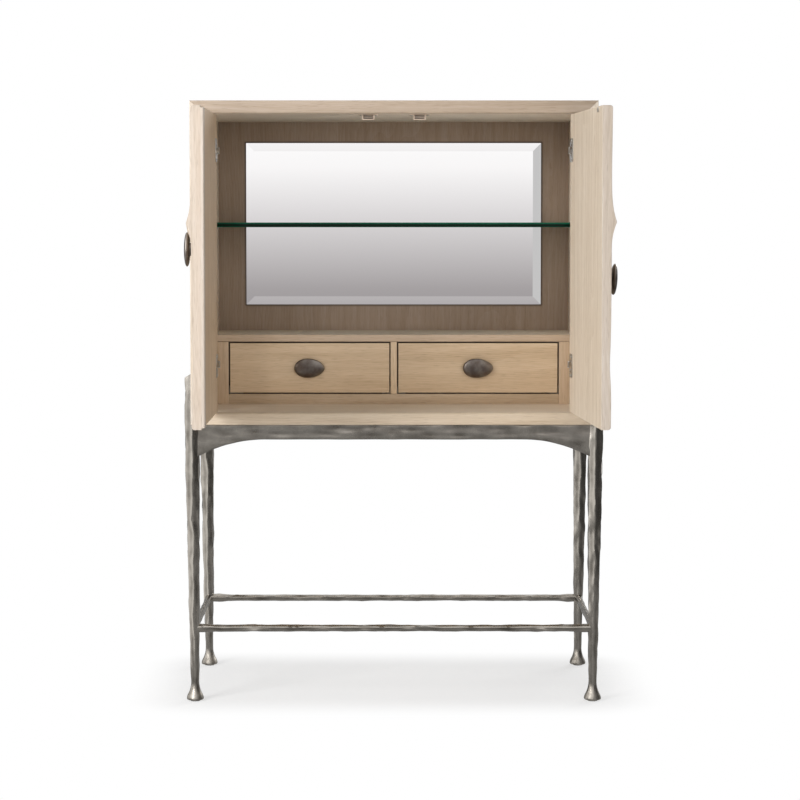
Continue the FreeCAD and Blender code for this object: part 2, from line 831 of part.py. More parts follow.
def arched_bar(length):
    """An apron along X, centred, its top on Z = 0 and its underside arched down to its ends."""
    half = length / 2
    flat = half - arch_run
    under = -apron_height
    radius = (arch_run ** 2 + arch_drop ** 2) / (2 * arch_drop)
    turn = math.asin(arch_run / radius) / 2
    lean = radius * math.sin(turn)
    sag = radius * (1 - math.cos(turn))
    y = -apron_thickness / 2
    right = Part.Arc(Vector(flat, y, under), Vector(flat + lean, y, under - sag),
                     Vector(half, y, under - arch_drop)).toShape()
    left = Part.Arc(Vector(-half, y, under - arch_drop), Vector(-flat - lean, y, under - sag),
                    Vector(-flat, y, under)).toShape()
    edges = [Part.makeLine(Vector(-flat, y, under), Vector(flat, y, under)), right,
             Part.makeLine(Vector(half, y, under - arch_drop), Vector(half, y, 0)),
             Part.makeLine(Vector(half, y, 0), Vector(-half, y, 0)),
             Part.makeLine(Vector(-half, y, 0), Vector(-half, y, under - arch_drop)), left]
    bar = Part.Face(Part.Wire(edges)).extrude(Vector(0, apron_thickness, 0))
    rims = edges_where(bar, lambda c, b: near(abs(c.y), apron_thickness / 2)
                       and c.z < under + apron_height / 4 and abs(c.x) < half - overrun)
    return bar.makeChamfer(apron_chamfer, rims)


def aprons(legs):
    """Front, back and side aprons, each ended where it meets its two legs."""
    middle = case_depth / 2
    reach = leg_axis(stand_height)
    pieces = {}
    for name, y in (("front", leg_front), ("back", leg_back)):
        bar = arched_bar(2 * reach)
        bar.translate(Vector(0, y, stand_height))
        pieces[name + "_apron"] = bar.cut(legs["left_" + name + "_leg"]).cut(legs["right_" + name + "_leg"])
    for name, side in (("left", -1), ("right", 1)):
        bar = arched_bar(leg_back - leg_front)
        bar.rotate(Vector(0, 0, 0), Vector(0, 0, 1), 90)
        bar.translate(Vector(side * reach, middle, stand_height))
        pieces[name + "_apron"] = bar.cut(legs[name + "_front_leg"]).cut(legs[name + "_back_leg"])
    return trimmed(pieces, "apron")


def trimmed(pieces, kind):
    """Keeps each bar's length between its legs, and ends the side bars at the front and back ones."""
    bars = {name: max(shape.Solids, key=lambda solid: solid.Volume) for name, shape in pieces.items()}
    for side in ("left_", "right_"):
        bars[side + kind] = bars[side + kind].cut(bars["front_" + kind]).cut(bars["back_" + kind])
    return bars


def stretcher(start, end, u, v, first_level):
    stations = [(start + (end - start) * share, width_share * stretcher_width)
                for share, width_share in stretcher_shares]
    return hammered_bar(stations, u, v, stretcher_sides, first_level)


def stretchers(legs):
    """Round bars welded between the legs in a low rectangle."""
    x = leg_axis(stretcher_height)
    up = Vector(0, 0, 1)
    pieces = {}
    for number, (name, y) in enumerate((("front", leg_front), ("back", leg_back))):
        ends = [Vector(way * x, y, stretcher_height) for way in (-1, 1)]
        bar = stretcher(*ends, Vector(0, 1, 0), up, number).cut(legs["left_" + name + "_leg"])
        pieces[name + "_stretcher"] = bar.cut(legs["right_" + name + "_leg"])
    for number, (name, side) in enumerate((("left", -1), ("right", 1))):
        ends = [Vector(side * x, y, stretcher_height) for y in (leg_front, leg_back)]
        bar = stretcher(*ends, up, Vector(1, 0, 0), number + hammer_step)
        pieces[name + "_stretcher"] = bar.cut(legs[name + "_front_leg"]).cut(legs[name + "_back_leg"])
    return trimmed(pieces, "stretcher")


def tab_places():
    """Where the stand's fixing tabs meet the front and back aprons, with the way that each points."""
    front = leg_front + apron_thickness / 2
    back = leg_back - apron_thickness / 2
    return [(x, y, way) for y, way in ((front, 1), (back, -1)) for x in (-tab_spacing, 0, tab_spacing)]


def fixing_tab(x, y, way):
    half = tab_length / 2
    plate = box(x - half, x + half, min(y, y + way * tab_width), max(y, y + way * tab_width),
                case_bottom - tab_thickness, case_bottom)
    return plate.cut(base_screw(x, y, way))


def base_screw(x, y, way):
    """The screw up through a tab into the case."""
    seat = Vector(x, y + way * tab_width / 2, case_bottom - tab_thickness)
    return screw(seat, Vector(0, 0, 1), base_screw_radius, base_screw_length, base_screw_head_radius,
                 base_screw_head_height)


def foot_glide(side, y):
    x = side * leg_axis(0)
    return peg(glide_radius, Vector(x, y, 0), Vector(x, y, glide_height), round_sides)


# Assembly

def stand_pieces():
    legs = {}
    level = 0
    for depth_name, y in (("front", leg_front), ("back", leg_back)):
        for side_name, side in (("left", -1), ("right", 1)):
            legs[side_name + "_" + depth_name + "_leg"] = leg(side, y, level)
            level += hammer_step
    pieces = dict(legs)
    pieces.update(aprons(legs))
    pieces.update(stretchers(legs))
    pieces["fixing_tabs"] = group([fixing_tab(*place) for place in tab_places()])
    pieces["base_screws"] = group([base_screw(*place) for place in tab_places()])
    pieces["foot_glides"] = group([foot_glide(side, y) for side in (-1, 1) for y in (leg_front, leg_back)])
    return pieces


def case_pieces():
    pieces = case_boards()
    base_screws = group([base_screw(*place) for place in tab_places()])
    pieces["bottom_panel"] = pieces["bottom_panel"].cut(base_screws)
    side_holes = [left_shank(y) for y in pin_places()]
    for height in hinge_heights:
        side_holes += plate_screws(height)
    left = pieces["left_side_panel"].cut(group(side_holes))
    pieces["left_side_panel"] = left
    pieces["right_side_panel"] = mirrored(left)
    screws = left_catch_screws()
    screws += [mirrored(screw) for screw in screws]
    pieces["top_panel"] = pieces["top_panel"].cut(group(screws))
    pieces["catch_screws"] = group(screws)
    catch = left_catch()
    pieces["magnetic_catches"] = group([catch, mirrored(catch)])
    pieces["back_panel"] = back_panel()
    pieces["drawer_deck"] = drawer_deck()
    pieces["drawer_bottom_rail"] = drawer_bottom_rail()
    pieces["left_drawer_stile"] = left_drawer_stile()
    pieces["right_drawer_stile"] = mirrored(left_drawer_stile())
    pieces["drawer_divider"] = drawer_divider()
    pieces["drawer_runners"] = drawer_runners()
    pieces["mirror"] = mirror()
    pieces["mirror_backing"] = mirror_backing()
    pieces["shelf_pins"] = shelf_pins()
    arms = [hinge_arm(height) for height in hinge_heights]
    pieces["left_hinge_arms"] = group(arms)
    pieces["right_hinge_arms"] = group([mirrored(arm) for arm in arms])
    plates = [hinge_plate(height) for height in hinge_heights]
    pieces["hinge_plates"] = group(plates + [mirrored(plate) for plate in plates])
    fixings = [screw for height in hinge_heights for screw in plate_screws(height)]
    pieces["hinge_plate_screws"] = group(fixings + [mirrored(screw) for screw in fixings])
    return pieces


def left_door_pieces():
    """The left door shut, by name."""
    leaf = carved_leaf(1)
    handle = door_knob(-1, left_knob_rise, 0)
    cups = [hinge_cup(height) for height in hinge_heights]
    screws = [screw for height in hinge_heights for screw in cup_screws(height)]
    for height in hinge_heights:
        leaf = leaf.cut(cup_hollow(0, cup_depth, height))
    leaf = leaf.cut(group(screws)).cut(handle)
    return {"door_panel": leaf, "door_knob": handle, "hinge_cups": group(cups), "cup_screws": group(screws),
            "door_astragal": astragal(), "door_strike": left_strike()}


def right_door_pieces(left):
    """The right door shut: its own carving and knob, and the left door's fittings mirrored."""
    leaf = carved_leaf(-1)
    handle = door_knob(1, right_knob_rise, right_knob_tilt)
    for height in hinge_heights:
        leaf = leaf.cut(mirrored(cup_hollow(0, cup_depth, height)))
    pieces = {name: mirrored(left[name]) for name in ("hinge_cups", "cup_screws", "door_strike")}
    pieces["door_knob"] = handle
    pieces["door_panel"] = leaf.cut(pieces["cup_screws"]).cut(handle)
    return pieces


def cabinet():
    """Every piece by name, with the doors standing open as in use and the drawers in."""
    pieces = stand_pieces()
    pieces.update(case_pieces())
    pieces["glass_shelf"] = glass_shelf()
    links = group([hinge_link(height) for height in hinge_heights])
    left = left_door_pieces()
    for name, shape in left.items():
        pieces["left_" + name] = open_door(shape, left_open_angle)
    pieces["left_hinge_links"] = open_link(links, left_open_angle)
    for name, shape in right_door_pieces(left).items():
        pieces["right_" + name] = mirrored(open_door(mirrored(shape), right_open_angle))
    pieces["right_hinge_links"] = mirrored(open_link(links, right_open_angle))
    for name, shape in drawer_pieces().items():
        pieces["right_drawer_" + name] = shape
        pieces["left_drawer_" + name] = mirrored(shape)
    return pieces


def middle_in_depth(pieces):
    bounds = FreeCAD.BoundBox()
    for shape in pieces.values():
        bounds.add(shape.BoundBox)
    return (bounds.YMin + bounds.YMax) / 2


if __name__ == "__main__":
    os.makedirs("parts", exist_ok=True)
    pieces = cabinet()
    shift = Vector(0, -middle_in_depth(pieces), 0)
    for name, shape in pieces.items():
        shape.translate(shift)
        shape.exportStep("parts/" + name + ".step")
    print("pieces", len(pieces), "shift", shift.y)
    print("left arm pin", arm_pin() + shift)
    print("left cup pin", cup_pin_at(left_open_angle) + shift)
    print("right cup pin, mirrored", cup_pin_at(right_open_angle) + shift)
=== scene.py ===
import json
import math
from contextlib import contextmanager

import bmesh
import bpy
import numpy as np
from mathutils import Euler, Matrix, Vector


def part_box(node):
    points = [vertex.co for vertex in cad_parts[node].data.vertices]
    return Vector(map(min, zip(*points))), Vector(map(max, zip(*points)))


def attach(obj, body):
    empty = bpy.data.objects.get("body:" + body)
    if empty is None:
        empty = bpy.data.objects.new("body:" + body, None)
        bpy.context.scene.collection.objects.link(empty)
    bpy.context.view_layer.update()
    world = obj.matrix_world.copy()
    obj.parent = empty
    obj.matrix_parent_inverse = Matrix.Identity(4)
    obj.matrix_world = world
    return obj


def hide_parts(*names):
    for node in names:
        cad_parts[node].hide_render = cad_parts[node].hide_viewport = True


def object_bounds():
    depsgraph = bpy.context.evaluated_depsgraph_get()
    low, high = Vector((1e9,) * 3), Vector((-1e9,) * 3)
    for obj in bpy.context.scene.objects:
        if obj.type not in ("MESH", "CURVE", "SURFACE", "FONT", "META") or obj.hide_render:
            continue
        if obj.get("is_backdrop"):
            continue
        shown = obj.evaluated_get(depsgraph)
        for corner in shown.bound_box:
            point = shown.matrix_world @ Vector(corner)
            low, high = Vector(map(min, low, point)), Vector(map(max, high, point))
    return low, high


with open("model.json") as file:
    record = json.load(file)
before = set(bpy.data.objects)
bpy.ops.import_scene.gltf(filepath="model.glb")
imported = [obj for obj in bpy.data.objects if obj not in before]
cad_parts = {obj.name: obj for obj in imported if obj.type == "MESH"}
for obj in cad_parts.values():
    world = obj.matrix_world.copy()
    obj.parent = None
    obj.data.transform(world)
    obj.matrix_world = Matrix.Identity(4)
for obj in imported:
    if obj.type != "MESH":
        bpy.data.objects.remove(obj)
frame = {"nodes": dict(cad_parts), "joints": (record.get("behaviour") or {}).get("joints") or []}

# Looks of a bar cabinet: waxed oak case with carved doors on a hammered iron stand.
# Metres. X to the right, Y to the back, Z up.

bl_info = {
    "name": "Bar cabinet",
    "version": (1, 0, 0),
    "blender": (4, 5, 0),
    "location": "View3D > Sidebar > Cabinet",
    "description": "Dresses a bar cabinet: oak boards, carved doors, hammered stand, mirror, glass shelf "
                   "and fittings",
    "category": "Object",
}

MM = 0.001
CAD_BOX = [list(corner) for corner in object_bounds()]
CASE_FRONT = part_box("top_panel")[0].y
PINS = {joint["name"]: Vector(joint["pos_m"]) for joint in frame["joints"] if "pos_m" in joint}
# Degrees that the doors stand open at rest, turned about Z
DOOR_TURNS = {"left": -90.0, "right": 94.2}
X, Y, Z = Vector((1, 0, 0)), Vector((0, 1, 0)), Vector((0, 0, 1))


def colour(code):
    """A #rrggbb value as linear red, green, blue and alpha."""
    shares = [int(code[place:place + 2], 16) / 255 for place in (1, 3, 5)]
    return tuple([s / 12.92 if s <= 0.04045 else ((s + 0.055) / 1.055) ** 2.4 for s in shares] + [1.0])


def shade(description, code):
    return bpy.props.FloatVectorProperty(description=description, subtype="COLOR", size=4, min=0, max=1,
                                         default=colour(code))


def amount(description, value, **more):
    return bpy.props.FloatProperty(description=description, default=value, **more)


def length(description, millimetres):
    return amount(description, millimetres * MM, unit="LENGTH")


def share(description, value):
    return amount(description, value, subtype="FACTOR", min=0, max=1)


class OakLook(bpy.types.PropertyGroup):
    pale: shade("Open early wood between the year rings", "#ebe1d5")
    middle: shade("The wood's main tone, limed", "#dfd2c2")
    dark: shade("Denser lines of the year rings", "#c8b8a4")
    pore: shade("Wax in the open pores", "#988571")
    door_tone: shade("Multiplies the carved faces' colour", "#faf1e6")
    # Painted shade: the left door's inner face, which looks away from the key light, is tinted darker than
    # the right door's
    left_door_tone: shade("Multiplies the colour of the left door's inner face", "#f2e4d2")
    right_door_tone: shade("Multiplies the colour of the right door's inner face", "#fffbf4")
    door_edge_tone: shade("Multiplies the colour of the doors' meeting edges", "#e2dfde")
    # Painted light: a pale colour mixed into the faces inside the case, so that they read as more brightly
    # lit
    lime: shade("Rubbed into the grain of the faces inside the case", "#fff0dd")
    top_tone: shade("Multiplies the top board's colour", "#cfc6be")
    bottom_tone: shade("Multiplies the bottom board's colour", "#e4dccf")
    deck_tone: shade("Multiplies the drawer deck's colour", "#dfd1c2")
    drawer_tone: shade("Multiplies the drawer fronts' and divider's colour", "#ecdcc4")
    stile_tone: shade("Multiplies the outer stiles' colour", "#dccbb6")
    rail_tone: shade("Multiplies the bottom rail's colour", "#cdbea9")
    back_tone: shade("Multiplies the back panel's colour", "#ada096")
    # Painted shade: a dark line on the back panel round the mirror, and the width of that line
    wax: shade("Dark wax along the mirror's outline", "#695a4d")
    shade_line_reach: length("Width of the wax line along the mirror", 7.0)
    # Painted shade: the faces in the gaps round the drawers are tinted dark, as the shade in the gaps
    stain: shade("Multiplies the wood's colour on the faces in the gaps round the drawers", "#33291f")
    ring_width: length("Distance between year rings", 4.0)
    ring_contrast: share("How strongly the year rings show", 0.1)
    streak_width: length("Width of the wider tone streaks", 16.0)
    pore_width: length("Width of a pore, drawn coarse enough to show", 1.0)
    brush_depth: length("How deep the brushed grain lies", 0.25)
    edge_round: length("Round on the boards' sharp edges", 0.7)


class IronLook(bpy.types.PropertyGroup):
    rubbed: shade("Burnished high places", "#b8b2a9")
    waxed: shade("Dark wax in the hollows", "#4b453c")
    sides: bpy.props.IntProperty(description="Faces hammered round a bar", default=6, min=5, max=16)
    unevenness: share("How much the hammered faces vary in depth", 0.14)
    growth: share("How far the faces stand out past the bar's plain round", 0.04)
    wander: amount("How far the faces turn along a bar", 0.6, subtype="ANGLE")
    blow_length: length("Length of bar that one run of blows covers", 70.0)
    dent_size: length("Size of the small dents", 13.0)
    dent_depth: length("Depth of the small dents", 0.08)
    blow_height: length("Height of the soft waves that the blows leave", 2.0)
    plate_dent: length("Height of the long dents on the aprons", 15.0)
    plate_depth: length("Depth of the long dents on the aprons", 1.1)


class FittingsLook(bpy.types.PropertyGroup):
    bronze: shade("Dark patina of the knobs", "#655b55")
    bronze_rub: shade("Worn places of the knobs", "#aaa49d")
    nickel: shade("Plating of the hinges", "#bcbab6")
    zinc: shade("Plating of the screws", "#c8c8c6")
    catch: shade("Moulded body of the catches", "#c9b6a4")
    magnet: shade("Oiled steel in the catches", "#4a4038")
    felt: shade("Pressed felt of the glides", "#6b6966")


class GlassLook(bpy.types.PropertyGroup):
    silver: shade("The mirror's reflection", "#fbfafa")
    body: shade("Tint through the shelf's faces", "#eef8f3")
    edge: shade("Depth of green seen in the polished edge", "#03190f")
    # Painted light: the brighter green at the top and bottom of the polished edges
    edge_bright: shade("Green at the top and bottom of the edge", "#1a5a44")
    edge_round: length("Round on the shelf's polished edges", 0.9)
    bends: bpy.props.FloatVectorProperty(
        description="Degrees that the bottom, right, top and left bevels tilt inward",
        size=4, default=(0.7, 9.0, 0.7, 0.3))
    bow: amount("Degrees that the plate's left end turns inward", 1.4)


class Studio(bpy.types.PropertyGroup):
    distance: length("From the cabinet's front to the camera", 5456.0)
    height: length("Height of the camera above the floor", 1225.4)
    offset: length("Camera to the right of the middle", -10.0)
    lens: amount("Focal length in millimetres", 98.6)
    shift: bpy.props.FloatVectorProperty(description="Sideways and upward shift of the lens", size=2,
                                         default=(0.0126, -0.10))
    drop: amount("Tilt of the camera", math.radians(2.738), subtype="ANGLE")
    key: amount("Watts of the light at the front left", 96.0)
    front: amount("Watts of the wide front light", 105.0)
    rear: amount("Watts of the light behind", 60.0)
    sky: amount("Strength of the even light all round", 0.2)


LOOKS = (("cabinet_oak", OakLook), ("cabinet_iron", IronLook), ("cabinet_fittings", FittingsLook),
         ("cabinet_glass", GlassLook), ("cabinet_studio", Studio))


# Nodes and materials

def add(tree, kind, *values, **named):
    """Adds a node. The values go to its sockets in order. A name with a capital is a socket's, with _ for
    each space, and other names are settings. A node given as a value stands for its first output in use."""
    node = tree.nodes.new(kind if "Node" in kind else "ShaderNode" + kind)
    for name in filter(str.islower, named):
        setattr(node, name, named[name])
    inputs = list(zip([socket for socket in node.inputs if socket.enabled], values))
    inputs += [(node.inputs[name.replace("_", " ")], named[name]) for name in named if not name.islower()]
    for socket, value in inputs:
        if isinstance(value, bpy.types.Node):
            value = next(output for output in value.outputs if output.enabled)
        if isinstance(value, bpy.types.NodeSocket):
            tree.links.new(value, socket)
        else:
            socket.default_value = value
    return node


def set_stops(ramp, first, last, *between):
    """Gives a colour ramp its stops, each as a position and a colour."""
    stops = ramp.color_ramp.elements
    for number, stop in enumerate((first, last)):
        stops[number].position, stops[number].color = stop
    for position, tone in between:
        stops.new(position).color = tone


def cleared(owner):
    """The empty tree of a new material or world."""
    owner.use_nodes = True
    owner.node_tree.nodes.clear()
    return owner.node_tree


def new_material(name):
    """An empty material, its tree and the place that its patterns go by."""
    material = bpy.data.materials.new(name)
    tree = cleared(material)
    return material, tree, add(tree, "TexCoord").outputs["Object"]


def finish_material(material, **inputs):
    tree = material.node_tree
    add(tree, "OutputMaterial", add(tree, "BsdfPrincipled", **inputs))
    return material


def distance_past(tree, place, middle, half):
    """How far a place lies outside the block that reaches half its size each way from its middle."""
    beside = add(tree, "VectorMath", place, middle, operation="SUBTRACT")
    beside = add(tree, "VectorMath", beside, operation="ABSOLUTE")
    past = add(tree, "VectorMath", beside, half, operation="SUBTRACT")
    past = add(tree, "VectorMath", past, (0, 0, 0), operation="MAXIMUM")
    return add(tree, "VectorMath", past, operation="LENGTH")


def oak(look, name, grain, pith, tint=None, shaded_outline=None, lime=0.0):
    """Waxed, wire-brushed oak. The eye sees fine straight lines along the grain, wider streaks of tone and
    short dark pores; the wax leaves a dull satin. The pith is a point of the row frame that the year rings
    run round. A line of painted shade darkens the board along the outline of what stands on it, between the
    two corners shaded_outline. A share lime of a paler colour is mixed in as painted light."""
    turn = Euler({"x": (0, math.pi / 2, 0), "y": (math.pi / 2, 0, 0), "z": (0, 0, 0)}[grain])
    material, tree, place = new_material(name)
    board = add(tree, "Mapping", place, -(turn.to_matrix() @ Vector(pith)), turn)
    # The rings wander by up to 45 mm, over 250 mm across the grain and over 1.2 m along it
    slow = add(tree, "VectorMath", board, (4.0, 4.0, 0.8), operation="MULTIPLY")
    bend = add(tree, "TexNoise", Vector=slow, Scale=1.0, Detail=2.0)
    push = add(tree, "VectorMath", bend.outputs["Color"], (0.5, 0.5, 0.5), operation="SUBTRACT")
    reach = add(tree, "VectorMath", push, (0.09, 0.09, 0.0), operation="MULTIPLY")
    bent = add(tree, "VectorMath", board, reach, operation="ADD")
    # A wave's rings repeat each 2 pi / 20 units, so that the scale comes from the ring width
    rings = add(tree, "TexWave", Vector=bent, Scale=math.pi / 10 / look.ring_width, Distortion=1.5,
                Detail=2.0, Detail_Scale=0.6, wave_type="RINGS", rings_direction="Z", wave_profile="SAW")
    per_streak, per_pore = 1 / look.streak_width, 1 / look.pore_width
    wide = add(tree, "VectorMath", bent, (per_streak, per_streak, 1.1), operation="MULTIPLY")
    streaks = add(tree, "TexNoise", Vector=wide, Scale=1.0, Detail=3.0)
    thin = add(tree, "VectorMath", board, (per_pore, per_pore, per_pore / 26), operation="MULTIPLY")
    fibres = add(tree, "TexNoise", Vector=thin, Scale=0.6, Detail=2.0)
    cells = add(tree, "TexVoronoi", Vector=thin, Scale=0.55)
    pores = add(tree, "MapRange", cells, 0.1, 0.24, 1.0, 0.0)
    tone = add(tree, "Math", rings.outputs["Fac"], look.ring_contrast, operation="MULTIPLY")
    tone = add(tree, "Math", streaks, 0.5, tone, operation="MULTIPLY_ADD")
    tone = add(tree, "Math", fibres, 0.36, tone, operation="MULTIPLY_ADD")
    ramp = add(tree, "ValToRGB", tone)
    set_stops(ramp, (0.3, look.pale), (0.7, look.dark), (0.48, look.middle))
    wax = add(tree, "Math", pores, 0.55, operation="MULTIPLY")
    wood = add(tree, "Mix", wax, ramp, look.pore, data_type="RGBA")
    if tint:
        wood = add(tree, "Mix", 1.0, wood, tint, data_type="RGBA", blend_type="MULTIPLY")
    # Painted light: mixes the wood towards a paler colour
    if lime:
        wood = add(tree, "Mix", lime, wood, look.lime, data_type="RGBA")
    # Painted shade: the wood darkens in a line round the outline of what stands on the board
    if shaded_outline:
        low, high = shaded_outline
        away = distance_past(tree, place, (low + high) / 2, (high - low) / 2)
        shade_line = add(tree, "MapRange", away, 0.4 * look.shade_line_reach, look.shade_line_reach, 1.0, 0.0)
        wood = add(tree, "Mix", shade_line, wood, look.wax, data_type="RGBA")
    dull = add(tree, "MapRange", fibres, 0.0, 1.0, 0.46, 0.62)
    height = add(tree, "Math", pores, -1.0, fibres, operation="MULTIPLY_ADD")
    bump = add(tree, "Bump", Strength=0.5, Distance=look.brush_depth, Height=height)
    return finish_material(material, Base_Color=wood, Roughness=dull, IOR=1.48, Normal=bump)


def hammered_iron(look, name, along):
    """Forged iron, hammered, waxed and burnished. The eye sees bright broken flats beside dark ones,
    browner where wax stays in the hollows, and a soft gloss. The wax lies in clouds of 38 mm over fire
    scale of 2.4 mm. The blows are 22 mm wide and drawn out to 83 mm along the bar, which is axis number
    along."""
    material, tree, place = new_material(name)
    rub = add(tree, "Attribute", attribute_name="rub")
    cloud = add(tree, "TexNoise", Vector=place, Scale=26.0, Detail=3.0)
    mixed = add(tree, "Math", rub.outputs["Fac"], 0.55, cloud, operation="MULTIPLY_ADD")
    wear = add(tree, "MapRange", mixed, 0.2, 1.05)
    tone = add(tree, "Mix", wear, look.waxed, look.rubbed, data_type="RGBA")
    gloss = add(tree, "MapRange", wear, 0.0, 1.0, 0.32, 0.22)
    # More wax stays on the feet, so that they are dull
    height = add(tree, "SeparateXYZ", place).outputs["Z"]
    foot = add(tree, "MapRange", height, 20 * MM, 70 * MM, 0.5, 0.0)
    gloss = add(tree, "Math", gloss, foot, operation="MAXIMUM")
    pace = [46.0, 46.0, 46.0]
    pace[along] = 12.0
    drawn = add(tree, "VectorMath", place, pace, operation="MULTIPLY")
    blows = add(tree, "TexNoise", Vector=drawn, Scale=1.0, Detail=0.6)
    struck = add(tree, "Bump", Strength=1.0, Distance=look.blow_height, Height=blows)
    scale = add(tree, "TexNoise", Vector=place, Scale=420.0, Detail=3.0)
    bump = add(tree, "Bump", Strength=0.2, Distance=0.1 * MM, Height=scale, Normal=struck)
    return finish_material(material, Base_Color=tone, Metallic=1.0, Roughness=gloss, Normal=bump)


def patinated_bronze(look, name):
    """Cast bronze, brown patina, rubbed at the rim. The eye sees a dark stone shape with soft cloudy wear
    and a grey shine where fingers reach. The clouds are 17 mm wide and the cast grit 1.4 mm."""
    material, tree, place = new_material(name)
    rub = add(tree, "Attribute", attribute_name="rub")
    cloud = add(tree, "TexNoise", Vector=place, Scale=60.0, Detail=5.0)
    mixed = add(tree, "Math", rub.outputs["Fac"], 0.6, cloud, operation="MULTIPLY_ADD")
    wear = add(tree, "MapRange", mixed, 0.35, 1.35)
    tone = add(tree, "Mix", wear, look.bronze, look.bronze_rub, data_type="RGBA")
    grit = add(tree, "TexNoise", Vector=place, Scale=700.0, Detail=2.0)
    bump = add(tree, "Bump", Strength=0.3, Distance=0.1 * MM, Height=grit)
    gloss = add(tree, "MapRange", grit, 0.0, 1.0, 0.26, 0.44)
    return finish_material(material, Base_Color=tone, Metallic=1.0, Roughness=gloss, Normal=bump)


def plated_steel(tone, name, roughness):
    """Pressed steel with a thin bright plating. The eye sees clean grey metal with a faint rolled grain,
    drawn 1.1 mm wide and 17 mm long so that it shows."""
    material, tree, place = new_material(name)
    along = add(tree, "VectorMath", place, (900.0, 900.0, 60.0), operation="MULTIPLY")
    rolled = add(tree, "TexNoise", Vector=along, Scale=1.0, Detail=2.0)
    gloss = add(tree, "MapRange", rolled, 0.0, 1.0, roughness - 0.06, roughness + 0.08)
    bump = add(tree, "Bump", Strength=0.15, Distance=0.05 * MM, Height=rolled)
    return finish_material(material, Base_Color=tone, Metallic=1.0, Roughness=gloss, Normal=bump)


def silvered_glass(look, name):
    """Plate glass, silvered behind. The eye sees a clear reflection, softened in faint patches of 330 mm."""
    material, tree, place = new_material(name)
    sweep = add(tree, "TexNoise", Vector=place, Scale=3.0)
    gloss = add(tree, "MapRange", sweep, 0.0, 1.0, 0.015, 0.03)
    return finish_material(material, Base_Color=look.silver, Metallic=1.0, Roughness=gloss)


def clear_glass(look, name):
    """Polished float glass. The eye sees straight through the faces, with a cold tint and a bright gloss
    that the cloth's wipes, 125 mm wide, barely dull."""
    material, tree, place = new_material(name)
    smear = add(tree, "TexNoise", Vector=place, Scale=8.0)
    gloss = add(tree, "MapRange", smear, 0.0, 1.0, 0.0, 0.02)
    return finish_material(material, Base_Color=look.body, Roughness=gloss, IOR=1.52, Transmission_Weight=1.0)


def glass_edge(look, name, low, high):
    """The polished edge of float glass. The eye looks along the whole plate there, so it is green: deepest in
    the middle of the edge, brighter at its top and bottom as painted light, and uneven over 110 mm."""
    material, tree, place = new_material(name)
    depth = add(tree, "TexNoise", Vector=place, Scale=9.0, Detail=3.0)
    # Painted light: the edge brightens towards its top and bottom
    rise = add(tree, "MapRange", add(tree, "SeparateXYZ", place).outputs["Z"], low, high)
    waver = add(tree, "Math", depth, 0.3, rise, operation="MULTIPLY_ADD")
    ramp = add(tree, "ValToRGB", waver)
    set_stops(ramp, (0.12, look.edge_bright), (1.0, look.edge_bright), (0.34, look.edge), (0.72, look.edge))
    return finish_material(material, Base_Color=ramp, Roughness=0.08, IOR=1.52, Specular_IOR_Level=0.12)


def moulded_plastic(look, name):
    """Injection-moulded plastic. The eye sees an even warm beige with a satin texture of 0.7 mm sparks."""
    material, tree, place = new_material(name)
    spark = add(tree, "TexNoise", Vector=place, Scale=1500.0)
    bump = add(tree, "Bump", Strength=0.2, Distance=0.05 * MM, Height=spark)
    gloss = add(tree, "MapRange", spark, 0.0, 1.0, 0.38, 0.5)
    return finish_material(material, Base_Color=look.catch, Roughness=gloss, IOR=1.5, Normal=bump)


def pressed_felt(look, name):
    """Pressed wool felt. The eye sees a matt grey with a fibrous edge, its tufts 1.1 mm across."""
    material, tree, place = new_material(name)
    fibre = add(tree, "TexNoise", Vector=place, Scale=900.0, Detail=5.0)
    tone = add(tree, "Mix", fibre, (0.05, 0.05, 0.05, 1), look.felt, data_type="RGBA")
    bump = add(tree, "Bump", Strength=0.8, Distance=0.4 * MM, Height=fibre)
    return finish_material(material, Base_Color=tone, Roughness=0.95, Sheen_Weight=0.3, Normal=bump)


# Meshes

def middle_of(node):
    low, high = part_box(node)
    return (low + high) / 2


def spline(points, count):
    """A smooth line through points, evenly sampled by its chords."""
    points = np.array(points, float)
    chords = np.linalg.norm(np.diff(points, axis=0), axis=1)
    knots = np.concatenate([[0], np.cumsum(chords)])
    size = len(points)
    system = np.zeros((size, size))
    right = np.zeros((size, points.shape[1]))
    system[0, 0] = system[-1, -1] = 1
    for row in range(1, size - 1):
        before, after = chords[row - 1], chords[row]
        system[row, row - 1:row + 2] = before, 2 * (before + after), after
        right[row] = 6 * ((points[row + 1] - points[row]) / after - (points[row] - points[row - 1]) / before)
    curve = np.linalg.solve(system, right)
    places = np.linspace(0, knots[-1], count)
    span = np.clip(np.searchsorted(knots, places, side="right") - 1, 0, size - 2)
    run = chords[span][:, None]
    t = (places - knots[span])[:, None]
    u = run - t
    return (curve[span] * u ** 3 / (6 * run) + curve[span + 1] * t ** 3 / (6 * run)
            + (points[span] / run - curve[span] * run / 6) * u
            + (points[span + 1] / run - curve[span + 1] * run / 6) * t)


def circle(around):
    """The cosine and sine of even turns round a circle."""
    turns = [2 * math.pi * step / around for step in range(around)]
    return [(math.cos(turn), math.sin(turn)) for turn in turns]


def loft(rings):
    """Vertices and faces through rings of points, with flat ends."""
    rings = np.array(rings, float)
    count, around = rings.shape[:2]
    faces = []
    for ring in range(count - 1):
        for step in range(around):
            after = (step + 1) % around
            faces.append((ring * around + step, ring * around + after,
                          (ring + 1) * around + after, (ring + 1) * around + step))
    faces.append(tuple(reversed(range(around))))
    faces.append(tuple(range((count - 1) * around, count * around)))
    return rings.reshape(-1, 3), faces


@contextmanager
def opened(mesh):
    """Opens a mesh for work on its points, edges and faces, and closes it with what was done."""
    form = bmesh.new()
    form.from_mesh(mesh)
    yield form
    form.to_mesh(mesh)
    form.free()


